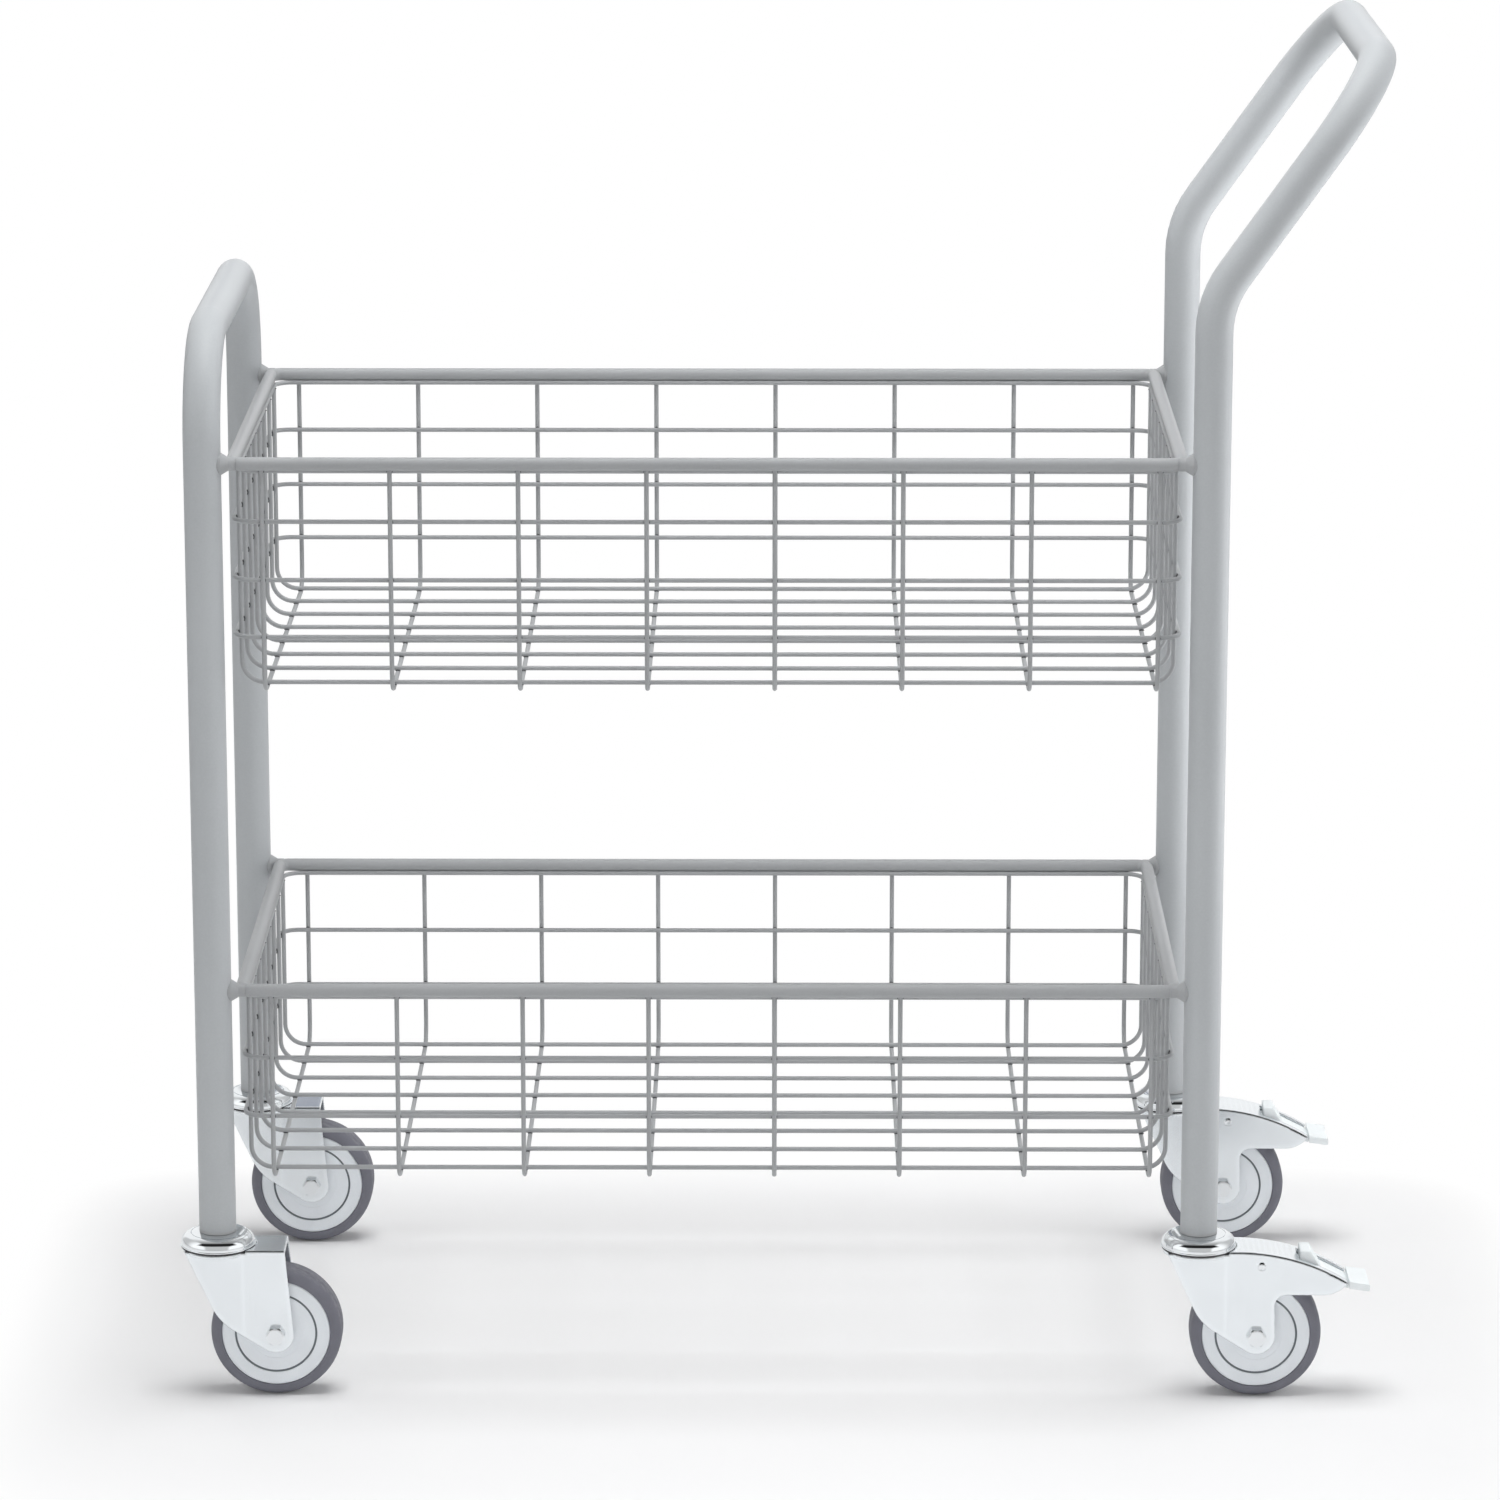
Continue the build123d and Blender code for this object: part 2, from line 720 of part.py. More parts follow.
def caster_pieces(braked):
    pieces = {
        "tube_plug": tube_plug(),
        "stem_bolt": stem_bolt(),
        "swivel_cap": swivel_cap(),
        "thrust_ring": thrust_ring(),
        "fork": fork(braked),
        "axle_bolt": axle_bolt(),
        "axle_nut": axle_nut(),
        "axle_sleeve": axle_sleeve(),
        "wheel_hub": wheel_hub(),
        "tyre": tyre(),
    }
    if braked:
        pieces["pedal_pin"] = pedal_pin()
        pieces["brake_pedal"] = brake_pedal()
        pieces["brake_shoe"] = brake_shoe()
    return pieces


def basket_pieces(name, height, depth, shares):
    return {
        name + "_rim": [rim(height)],
        name + "_cross_wires": cross_wires(height, depth),
        name + "_long_wires": long_wires(height, depth),
        name + "_hoop_wires": hoop_wires(height, depth, shares),
    }


def all_pieces():
    pieces = {"front_hoop": [front_hoop()], "handle_hoop": [handle_hoop()]}
    pieces |= basket_pieces("upper_basket", upper_rim_height, upper_depth, upper_hoop_shares)
    pieces |= basket_pieces("lower_basket", lower_rim_height, lower_depth, lower_hoop_shares)
    for end, x, braked in (("front", -post_x, False), ("rear", post_x, True)):
        caster = caster_pieces(braked)
        for side, y in (("left", -post_y), ("right", post_y)):
            for name, shape in caster.items():
                pieces[end + "_" + side + "_" + name] = [Pos(x, y, 0) * shape]
    return pieces


os.makedirs("parts", exist_ok=True)
for node, shapes in all_pieces().items():
    solids = [solid for shape in shapes for solid in shape.solids()]
    placed = [Pos(-cart_centre_x, 0, 0) * solid for solid in solids]
    export_step(Compound(placed), "parts/" + node + ".step")
    print(node, len(placed), "solid(s)")
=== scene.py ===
import json
import math

import bmesh
import bpy
from bpy.props import FloatProperty, FloatVectorProperty, IntProperty, PointerProperty
from mathutils import Matrix, Vector

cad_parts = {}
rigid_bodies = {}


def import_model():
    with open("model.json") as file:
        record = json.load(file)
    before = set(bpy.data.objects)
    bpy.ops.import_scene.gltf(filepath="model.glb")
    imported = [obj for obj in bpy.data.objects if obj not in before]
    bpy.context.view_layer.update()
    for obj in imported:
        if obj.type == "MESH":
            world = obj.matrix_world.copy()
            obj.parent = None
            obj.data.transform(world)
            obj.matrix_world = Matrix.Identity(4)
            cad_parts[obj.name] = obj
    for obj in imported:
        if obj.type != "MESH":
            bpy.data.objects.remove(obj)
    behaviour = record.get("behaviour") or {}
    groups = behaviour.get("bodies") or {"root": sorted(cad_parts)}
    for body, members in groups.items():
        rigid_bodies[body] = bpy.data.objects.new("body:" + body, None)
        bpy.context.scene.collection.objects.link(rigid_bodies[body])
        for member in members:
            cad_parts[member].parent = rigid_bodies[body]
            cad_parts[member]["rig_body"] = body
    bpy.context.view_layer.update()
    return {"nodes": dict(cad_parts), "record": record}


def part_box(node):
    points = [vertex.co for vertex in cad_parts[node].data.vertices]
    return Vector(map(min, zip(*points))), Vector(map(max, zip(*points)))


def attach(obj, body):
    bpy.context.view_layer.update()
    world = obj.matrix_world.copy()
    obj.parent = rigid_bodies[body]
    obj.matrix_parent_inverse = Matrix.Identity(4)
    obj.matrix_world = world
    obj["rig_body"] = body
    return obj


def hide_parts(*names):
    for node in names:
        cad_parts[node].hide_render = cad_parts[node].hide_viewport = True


bl_info = {
    "name": "Mail cart",
    "version": (1, 0, 0),
    "blender": (4, 5, 0),
    "location": "3D View > Sidebar > Mail cart",
    "description": "Dresses a mail cart: round basket wires, swivel caps, moulded wheels and all finishes",
    "category": "Object",
}

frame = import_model()

MM = 0.001
MERGE = 5e-6
SHARP_ANGLE = math.radians(35)
BEAD_SEGMENTS = {"u_segments": 8, "v_segments": 4}
BASKETS = ("upper_basket", "lower_basket")
CASTERS = ("front_left", "front_right", "rear_left", "rear_right")
BRAKED_CASTERS = ("rear_left", "rear_right")
NODE_SLOTS = {row["node"]: row["material_slot"] for row in frame["record"]["subparts"]}


def size(name, description, millimetres):
    return FloatProperty(name=name, description=description, default=millimetres * MM,
                         subtype="DISTANCE", unit="LENGTH", precision=5)


def count(name, description, default):
    return IntProperty(name=name, description=description, default=default)


def share(name, description, default):
    return FloatProperty(name=name, description=description, default=default, subtype="FACTOR", min=0, max=1)


def colour(name, description, default):
    return FloatVectorProperty(name=name, description=description, default=default,
                               subtype="COLOR", size=3, min=0, max=1)


def metres(name, description, default):
    return FloatProperty(name=name, description=description, default=default, unit="LENGTH")


def degrees(name, description, default):
    return FloatProperty(name=name, description=description, default=math.radians(default),
                         subtype="ANGLE", unit="ROTATION")


def amount(name, description, default):
    return FloatProperty(name=name, description=description, default=default)


def hoop_shares(name, basket, default):
    heights = f"Heights of the {basket} basket's hoops below its rod, as shares of the depth"
    return FloatVectorProperty(name=name, description=heights, default=default, size=len(default))


class BasketSizes(bpy.types.PropertyGroup):
    """Sizes of the two welded wire baskets that the frame's boxes don't give"""
    wire_radius: size("Wire radius", "Half the thickness of the basket wire", 1.75)
    rod_radius: size("Rod radius", "Half the thickness of the rod round the mouth", 5)
    wire_corner: size("Wire corner", "Bend at the two lower corners of a U-shaped wire", 17)
    hoop_corner: size("Hoop corner", "Bend at the four corners of a hoop", 15)
    cut_edge: size("Cut edge", "Rounding of a wire's cut end", 0.35)
    bead_reach: size("Bead reach", "How far a weld bead reaches from the middle of a crossing", 2.3)
    bead_height: size("Bead height", "Half the thickness of a weld bead", 0.9)
    wires_each_way: count("Wires each way", "Wires that cross a basket's floor in each direction", 8)
    wire_sides: count("Wire sides", "Faces round a wire", 16)
    bend_steps: count("Bend steps", "Faces along a bend", 10)
    upper_hoop_shares: hoop_shares("Upper hoops", "upper", (0.26, 0.52, 0.775))
    lower_hoop_shares: hoop_shares("Lower hoops", "lower", (0.37, 0.685))


class CasterSizes(bpy.types.PropertyGroup):
    """Sizes of the swivel caps, wheels and pedal pins"""
    spin_steps: count("Spin steps", "Faces round a cap, hub or tyre", 96)
    cap_bore: size("Cap bore", "Radius of the hole for the stem", 5.05)
    cap_top: size("Cap top", "Radius of the level part of the cap, round the stem", 13)
    cap_fall: size("Cap fall", "How far the top slopes down from there to its edge", 1)
    cap_step: size("Cap step", "Radius of the groove round the flat of the cap", 20.2)
    cap_step_width: size("Cap step width", "Width of that groove", 0.5)
    cap_step_depth: size("Cap step depth", "Depth of that groove", 0.4)
    cap_bulge: size("Cap bulge", "Rounding of the cap's rolled shoulder", 7.6)
    cap_neck: size("Cap neck", "How far the neck lies inside the lip", 0.5)
    cap_lip: size("Cap lip", "Height of the lip", 2.6)
    cap_lip_edge: size("Cap lip edge", "Rounding of the lip", 0.5)
    # The black ring that fills this gap is painted shade under the lip.
    cap_lift: size("Cap lift", "Gap under the lip, which the seal fills", 1.6)
    cap_recess: size("Cap recess", "Radius of the hollow for the thrust ring", 25.6)
    cap_recess_depth: size("Cap recess depth", "Depth of that hollow", 3)
    wheel_radius: size("Wheel radius", "Radius of the wheel over the tread", 50)
    hub_bore: size("Hub bore", "Radius of the hub's hole", 6.05)
    hub_radius: size("Hub radius", "Radius of the hub", 41.25)
    hub_side: size("Hub side", "Half the hub's width at its outer band", 14.3)
    boss_side: size("Boss side", "Half the hub's width at its boss", 16.7)
    boss_radius: size("Boss radius", "Radius of the boss", 13)
    dish: size("Dish", "How far the disc between boss and groove slopes", 0.8)
    ring_radius: size("Ring radius", "Radius of the fine raised ring on the disc", 20)
    ring_width: size("Ring width", "Width of that ring", 0.8)
    ring_height: size("Ring height", "Height of that ring", 0.25)
    groove_inner: size("Groove inner", "Inner radius of the groove", 29.95)
    groove_outer: size("Groove outer", "Outer radius of the groove", 31.45)
    groove_depth: size("Groove depth", "Depth of the groove", 1.2)
    hub_edge: size("Hub edge", "Rounding of the hub's outer edge", 1.1)
    tyre_seat: size("Tyre seat", "Inner radius of the tyre", 41.3)
    tyre_side: size("Tyre side", "Half the tyre's width", 15)
    tyre_wall: size("Tyre wall", "Outer radius of the tyre's flat wall", 43.3)
    tyre_bead: size("Tyre bead", "Rounding of the wall's inner edge", 0.9)
    seam_height: size("Seam height", "Height of the mould line round the tread", 0.12)
    seam_width: size("Seam width", "Width of that line", 0.5)
    tab_start: size("Tab start", "Distance from the swivel axis to the release tab", 76.85)
    tab_top_length: size("Tab top length", "Length of the tab's level top", 8)
    tab_length: size("Tab length", "Length of the tab with its sloping back", 16)
    tab_width: size("Tab width", "Width of the tab, in the fork's slot of 25 mm", 22.8)
    tab_drop: size("Tab drop", "How far the tab's top lies below the fork's top", 1.6)
    tab_end_drop: size("Tab end drop", "How far the slope's foot lies below the fork's top", 15.231)
    tab_height: size("Tab height", "Height of the tab's face towards the swivel head", 12)
    tab_back_height: size("Tab back height", "Height of the foot of the slope", 3)
    tab_edge: size("Tab edge", "Rounding of the tab's edges", 0.7)
    pin_radius: size("Pin radius", "Radius of the pedal pin's shank", 2.5)
    pin_head: size("Pin head", "Radius of the pin's riveted head", 3.2)
    pin_head_height: size("Pin head height", "Height of that head", 1.1)
    pin_head_flat: size("Pin head flat", "Radius of the flat inside the head's chamfer", 2.1)
    pin_head_rim: size("Pin head rim", "Height of the head's side under the chamfer", 0.2)
    pin_dimple: size("Pin dimple", "Radius of the dimple in the head", 1.5)
    pin_dimple_depth: size("Pin dimple depth", "Depth of the dimple", 0.4)


class FinishSettings(bpy.types.PropertyGroup):
    """Colours and gloss of the cart's finishes"""
    frame_coat: colour("Frame coat", "Powder coat of the tubes", (0.438, 0.458, 0.474))
    basket_coat: colour("Basket coat", "Powder coat of the baskets", (0.34, 0.350, 0.360))
    coat_roughness: share("Coat roughness", "Roughness of the powder coat", 0.42)
    chrome: colour("Chrome", "Chrome plate of the swivel caps", (0.86, 0.89, 0.91))
    zinc: colour("Zinc", "Zinc plate of the forks", (0.82, 0.855, 0.88))
    fastener: colour("Fastener", "Zinc plate of bolts, nuts and pins", (0.808, 0.832, 0.851))
    bearing: colour("Bearing", "Bare steel of bearings and sleeves", (0.50, 0.50, 0.51))
    hub: colour("Hub", "Moulded plastic of the hubs", (0.765, 0.80, 0.835))
    # Painted shade: the dark colour that the hub takes in its groove, standing in for the shade there.
    hub_shade: colour("Hub shade", "The same plastic deep in the groove", (0.16, 0.18, 0.20))
    tyre: colour("Tyre", "Grey rubber of the tyres", (0.155, 0.157, 0.186))
    tyre_dust: colour("Tyre dust", "Floor dust on the tread", (0.27, 0.265, 0.28))
    pedal: colour("Pedal", "White plastic of the pedals", (0.81, 0.85, 0.865))
    plug: colour("Plug", "Plastic of the plugs in the posts' feet", (0.42, 0.43, 0.44))
    shoe: colour("Shoe", "Rubber of the brake shoes", (0.05, 0.05, 0.052))


class StageSettings(bpy.types.PropertyGroup):
    """Camera, lamps and floor"""
    camera_place: FloatVectorProperty(name="Camera place", description="Where the camera stands", size=3,
                                      subtype="TRANSLATION", unit="LENGTH", default=(0.0019, -4.7415, 1.6067))
    camera_tilt: degrees("Camera tilt", "How far the camera looks down", 13.608)
    camera_turn: degrees("Camera turn", "How far the camera looks to the left", 0.295)
    lens: amount("Lens", "Focal length in millimetres", 150.43)
    sensor: amount("Sensor", "Sensor width in millimetres", 36)
    floor_size: metres("Floor size", "Half the floor's width", 20)
    floor_tone: colour("Floor tone", "The pale floor", (0.91, 0.91, 0.915))
    shade_length: metres("Shade length", "Half the length of the floor's shaded patch", 0.56)
    shade_width: metres("Shade width", "Half the width of that patch", 0.40)
    shade_middle: metres("Shade middle", "How far behind the cart's middle the patch lies", -0.05)
    shade_start: share("Shade start", "Where the patch starts to fade, in its sum of eighth powers", 0.05)
    shade_end: amount("Shade end", "Where the patch is white, in that sum", 2.2)
    sky_low: share("Sky low", "Strength of the soft light from near the horizon", 0.72)
    sky_high: share("Sky high", "Strength of the soft light from above", 0.22)
    top_power: amount("Top lamp", "Power of the lamp above in watts", 82)
    side_power: amount("Side lamps", "Power of each lamp at the cart's ends in watts", 7)
    front_power: amount("Front lamp", "Power of the lamp near the camera in watts", 31)
    handle_power: amount("Handle lamp", "Power of the small lamp near the handle in watts", 9)


# Each lamp's place, width and target in metres, and the setting that holds its power.
LAMPS = {
    "top_lamp": ((0, -0.1, 3.4), 1.8, (0, 0, 0), "top_power"),
    "left_lamp": ((-2.6, -0.3, 2.4), 1.4, (0, 0, 0.5), "side_power"),
    "right_lamp": ((2.6, -0.3, 2.4), 1.4, (0, 0, 0.5), "side_power"),
    "front_lamp": ((0, -4.5, 1.3), 1.8, (0, 0, 0.5), "front_power"),
    "handle_lamp": ((1.15, 0.05, 0.45), 0.6, (0.3, 0, 1.5), "handle_power"),
}


# Shader building

class Number:
    """A number that varies over a surface. Sums and products of such numbers add Math nodes."""

    def __init__(self, finish, socket):
        self.finish = finish
        self.socket = socket

    def join(self, operation, first, second):
        return self.finish.value("ShaderNodeMath", {"operation": operation}, {0: first, 1: second})

    def __add__(self, other):
        return self.join("ADD", self, other)

    def __radd__(self, other):
        return self.join("ADD", other, self)

    def __sub__(self, other):
        return self.join("SUBTRACT", self, other)

    def __rsub__(self, other):
        return self.join("SUBTRACT", other, self)

    def __mul__(self, other):
        return self.join("MULTIPLY", self, other)

    def __rmul__(self, other):
        return self.join("MULTIPLY", other, self)

    def __pow__(self, other):
        return self.join("POWER", self, other)

    def __rpow__(self, other):
        return self.join("POWER", other, self)


class Finish:
    """The node tree of a material or world, being filled."""

    def __init__(self, owner):
        owner.use_nodes = True
        self.tree = owner.node_tree
        self.tree.nodes.clear()

    def node(self, kind, settings=None, inputs=None):
        made = self.tree.nodes.new(kind)
        for name, value in (settings or {}).items():
            if name == "stops":
                self.fill_ramp(made.color_ramp, value)
            else:
                setattr(made, name, value)
        for name, value in (inputs or {}).items():
            self.feed(made.inputs[name], value)
        return made

    def fill_ramp(self, ramp, stops):
        while len(ramp.elements) < len(stops):
            ramp.elements.new(1)
        for element, (place, tone) in zip(ramp.elements, stops):
            element.position = place
            element.color = (*tone, 1)

    def feed(self, socket, value):
        if isinstance(value, Number):
            value = value.socket
        if isinstance(value, bpy.types.NodeSocket):
            self.tree.links.new(value, socket)
        else:
            socket.default_value = value

    def value(self, kind, settings=None, inputs=None, output=0):
        return Number(self, self.node(kind, settings, inputs).outputs[output])

    def place(self, stretch=(1, 1, 1), turn=(0, 0, 0)):
        coordinates = self.node("ShaderNodeTexCoord").outputs["Object"]
        if stretch == (1, 1, 1) and turn == (0, 0, 0):
            return coordinates
        inputs = {"Vector": coordinates, "Scale": stretch, "Rotation": turn}
        return self.node("ShaderNodeMapping", None, inputs).outputs[0]

    def noise(self, scale, detail=2, stretch=(1, 1, 1)):
        inputs = {"Vector": self.place(stretch), "Scale": scale, "Detail": detail}
        return self.value("ShaderNodeTexNoise", None, inputs)

    def ramp(self, factor, low, high, start=0, end=1):
        inputs = {"Value": factor, "From Min": low, "From Max": high, "To Min": start, "To Max": end}
        return self.value("ShaderNodeMapRange", {"clamp": True, "interpolation_type": "SMOOTHSTEP"}, inputs)

    def mix(self, factor, first, second):
        tones = [tone if isinstance(tone, bpy.types.NodeSocket) else (*tone, 1) for tone in (first, second)]
        made = self.node("ShaderNodeMix", {"data_type": "RGBA"}, {"Factor": factor})
        self.feed(made.inputs[6], tones[0])
        self.feed(made.inputs[7], tones[1])
        return made.outputs[2]

    def bump(self, height, distance, strength=1, normal=None):
        inputs = {"Height": height, "Distance": distance, "Strength": strength}
        if normal is not None:
            inputs["Normal"] = normal
        return self.node("ShaderNodeBump", None, inputs).outputs[0]

    def rounded(self, radius):
        return self.node("ShaderNodeBevel", {"samples": 4}, {"Radius": radius}).outputs[0]

    def lean(self, normal, flat, tilted):
        # How far a rounded normal leans from the face's own: zero at the cosine flat, one at tilted.
        true = self.node("ShaderNodeNewGeometry").outputs["True Normal"]
        cosine = self.value("ShaderNodeVectorMath", {"operation": "DOT_PRODUCT"}, {0: normal, 1: true}, 1)
        return self.ramp(cosine, flat, tilted)

    def edge(self, normal):
        # One along an edge, else zero.
        return self.lean(normal, 0.995, 0.8)

    def crease(self, normal):
        # One along a bend of a few degrees as well, where zinc plate paints a highlight.
        return self.lean(normal, 0.99999, 0.9998)

    def fold(self, normal):
        # Two shares along the fold at the top of an upright plate, from the rounded normal's lean up and to
        # the
        # side: one on the fold's lower half, the other on its upper half. Zinc plate paints a dark line on
        # the first and a highlight on the second.
        to_object = {"vector_type": "NORMAL", "convert_from": "WORLD", "convert_to": "OBJECT"}
        own = self.node("ShaderNodeVectorTransform", to_object, {"Vector": normal}).outputs[0]
        sideways, up = self.split(own)[1:]
        side = sideways * sideways
        lower = self.ramp(side, 0.3, 0.45) * self.ramp(up, 0.15, 0.3)
        upper = self.ramp(side, 0.03, 0.1) * self.ramp(side, 0.4, 0.3) * self.ramp(up, 0.5, 0.6)
        return lower, upper

    def split(self, vector):
        parts = self.node("ShaderNodeSeparateXYZ", None, {"Vector": vector}).outputs
        return [Number(self, part) for part in parts]

    def marked(self, name):
        # The point attribute of that name, which is zero on a piece that doesn't have it.
        return self.value("ShaderNodeAttribute", {"attribute_name": name}, None, 2)

    def mottled(self, light, tone, dark, pale):
        return self.mix(self.ramp(light, 0.3, 0.7), shaded(tone, dark), shaded(tone, pale))

    def blend(self, factor, first, second):
        return self.node("ShaderNodeMixShader", None, {"Fac": factor, 1: first, 2: second}).outputs[0]

    def shader(self, inputs):
        return self.node("ShaderNodeBsdfPrincipled", None, inputs).outputs[0]

    def show(self, shader):
        self.node("ShaderNodeOutputMaterial", None, {"Surface": shader})


def shaded(tone, factor):
    return tuple(part * factor for part in tone)


def powder_coat(finish, tone, roughness):
    # Satin powder coat: a slow drift of tone, the orange peel of the melted powder and fine grains in it. The
    # attribute set on each weld bead paints it nearly black: painted shade, standing in for the shade where
    # two wires cross.
    burn = finish.marked("burn")
    drift = finish.noise(7, 3)
    peel = finish.noise(620, 2)
    grain = finish.noise(2400, 1)
    light = drift * 0.5 + peel * 0.3 + grain * 0.2
    plain = finish.mottled(light, tone, 0.955, 1.045)
    finish.show(finish.shader({
        "Base Color": finish.mix(burn, plain, shaded(tone, 0.1)),
        "Roughness": roughness - 0.05 + peel * 0.06 + drift * 0.05,
        "Normal": finish.bump(peel * 0.8 + grain * 0.2, 0.04 * MM, 0.55),
        "Specular IOR Level": 0.45,
    }))


def chrome_plate(finish, tone):
    # Bright chrome on turned steel: hair-fine rings, and a breath of haze.
    haze = finish.noise(60, 3)
    rings = finish.noise(900, 1, (0.15, 0.15, 1))
    finish.show(finish.shader({
        "Base Color": finish.mix(haze, shaded(tone, 0.94), tone),
        "Metallic": 1.0,
        "Roughness": 0.03 + haze * 0.05,
        "Normal": finish.bump(rings, 0.006 * MM, 0.4),
    }))


def zinc_plate(finish, tone, edge_radius, grain_scale):
    # Bright zinc plate on rolled sheet: faint rolling lines and cloudy passivation. Under the folds at the
    # top of a cheek a painted dark line stands in for a dark reflection; bends and the upper side of the
    # folds get a painted highlight, and the other edges are rubbed bright.
    normal = finish.rounded(edge_radius)
    worn = finish.edge(normal)
    lower, upper = finish.fold(finish.rounded(2.6 * MM))
    # Rubbing wear on the edges, and a painted highlight along bends.
    wear_and_bend_highlight = worn * 0.5 + finish.crease(finish.rounded(4 * edge_radius)) * 0.75
    cloud = finish.noise(45, 4)
    lines = finish.noise(grain_scale, 2, (1, 0.06, 0.06))
    speck = finish.noise(1500, 1)
    light = cloud * 0.6 + lines * 0.2 + speck * 0.2
    plain = finish.mix(finish.ramp(light, 0.32, 0.68), shaded(tone, 0.97), shaded(tone, 1.02))
    # Painted highlight on the bends and the fold's upper half, together with the edges' wear.
    bright = finish.mix(wear_and_bend_highlight + upper, plain, shaded(tone, 1.1))
    finish.show(finish.shader({
        # Painted dark line on the fold's lower half, standing in for its dark reflection.
        "Base Color": finish.mix(lower, bright, shaded(tone, 0.08)),
        "Metallic": 0.92,
        "Roughness": 0.15 + cloud * 0.07 + lines * 0.02,
        "Normal": finish.bump(lines * 0.5 + speck * 0.5, 0.006 * MM, 0.3, normal),
    }))


def bare_steel(finish, tone):
    # Ground bearing steel with a film of oil.
    film = finish.noise(120, 3)
    lines = finish.noise(1400, 1, (1, 1, 0.05))
    finish.show(finish.shader({
        "Base Color": finish.mix(film, shaded(tone, 0.85), tone),
        "Metallic": 0.9,
        "Roughness": 0.22 + film * 0.2,
        "Normal": finish.bump(lines, 0.01 * MM, 0.4, finish.rounded(0.25 * MM)),
    }))


def hub_plastic(finish, tone, shade):
    # Half-gloss moulded plastic. The attribute depth is one in the groove, where the colour turns dark:
    # painted shade deep in the groove.
    depth = finish.marked("depth")
    grain = finish.noise(1100, 2)
    flow = finish.noise(38, 3)
    plain = finish.mottled(flow * 0.6 + grain * 0.4, tone, 0.965, 1.03)
    finish.show(finish.shader({
        "Base Color": finish.mix(depth, plain, shade),
        "Roughness": 0.34 + flow * 0.1 + depth * 0.15,
        "Normal": finish.bump(grain, 0.02 * MM, 0.5),
    }))


def tyre_rubber(finish, tone, dust):
    # Grey non-marking rubber. The attribute tread is one where the tyre rolls, and dust lies there.
    tread = finish.marked("tread")
    grain = finish.noise(1300, 2)
    cloud = finish.noise(70, 4)
    scuff = finish.noise(260, 3)
    plain = finish.mottled(cloud * 0.6 + grain * 0.4, tone, 0.93, 1.07)
    finish.show(finish.shader({
        "Base Color": finish.mix(tread * finish.ramp(scuff, 0.42, 0.62) * 0.35, plain, dust),
        "Roughness": 0.52 + grain * 0.1 + tread * 0.1,
        "Normal": finish.bump(grain * 0.6 + scuff * 0.4, 0.05 * MM, 0.5),
        "Specular IOR Level": 0.4,
    }))


def moulded_plastic(finish, tone, roughness, rub):
    # Plain moulded plastic with a fine spark-eroded skin, soft edges and a little rubbing along them.
    normal = finish.rounded(0.5 * MM)
    worn = finish.edge(normal)
    skin = finish.noise(1500, 2)
    flow = finish.noise(50, 3)
    plain = finish.mottled(flow * 0.5 + skin * 0.5, tone, 0.96, 1.03)
    finish.show(finish.shader({
        "Base Color": finish.mix(worn * 0.4, plain, shaded(tone, rub)),
        "Roughness": roughness + skin * 0.08 - worn * 0.08,
        "Normal": finish.bump(skin, 0.025 * MM, 0.5, normal),
    }))


# What makes each slot's finish, with the settings, by name, and the numbers that it takes.
FINISHES = {
    "frame_coat": (powder_coat, "frame_coat", "coat_roughness"),
    "basket_coat": (powder_coat, "basket_coat", "coat_roughness"),
    "cap_chrome": (chrome_plate, "chrome"),
    "fork_zinc": (zinc_plate, "zinc", 1.2 * MM, 700),
    "fastener_steel": (zinc_plate, "fastener", 0.3 * MM, 1500),
    "bearing_steel": (bare_steel, "bearing"),
    "hub_plastic": (hub_plastic, "hub", "hub_shade"),
    "tyre_rubber": (tyre_rubber, "tyre", "tyre_dust"),
    "pedal_plastic": (moulded_plastic, "pedal", 0.38, 0.8),
    "plug_plastic": (moulded_plastic, "plug", 0.45, 1.2),
    "shoe_rubber": (moulded_plastic, "shoe", 0.7, 1.6),
}


def finish_of(context, slot):
    """The material of a slot of the record, made when it is first asked for."""
    material = bpy.data.materials.get(slot + "_finish")
    if material is None:
        material = bpy.data.materials.new(slot + "_finish")
        settings = context.scene.mail_cart_finishes
        maker, *values = FINISHES[slot]
        values = [getattr(settings, value) if isinstance(value, str) else value for value in values]
        maker(Finish(material), *values)
    return material


# Mesh building

def placed(context, name, data):
    made = bpy.data.objects.new(name, data)
    context.scene.collection.objects.link(made)
    return made


def add_piece(context, name, shape, node, stands_for=True, slot=None):
    """Makes an object of a finished bmesh. It takes the CAD node's body and, unless told otherwise, its
    finish, and may stand for the node."""
    bmesh.ops.remove_doubles(shape, verts=shape.verts, dist=MERGE)
    bmesh.ops.recalc_face_normals(shape, faces=shape.faces)
    data = bpy.data.meshes.new(name)
    shape.to_mesh(data)
    shape.free()
    data.shade_smooth()
    data.set_sharp_from_angle(angle=SHARP_ANGLE)
    slot = slot or NODE_SLOTS[node]
    data.materials.append(finish_of(context, slot))
    piece = placed(context, name, data)
    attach(piece, frame["nodes"][node]["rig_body"])
    if stands_for:
        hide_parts(node)
    return piece


def edges_in(geometry):
    return [part for part in geometry if isinstance(part, bmesh.types.BMEdge)]


def verts_in(geometry):
    return [part for part in geometry if isinstance(part, bmesh.types.BMVert)]


def round_off(shape, corners, offset, segments, affect="EDGES"):
    bmesh.ops.bevel(shape, geom=corners, offset=offset, offset_type="OFFSET", segments=segments,
                    profile=0.5, affect=affect, material=-1)


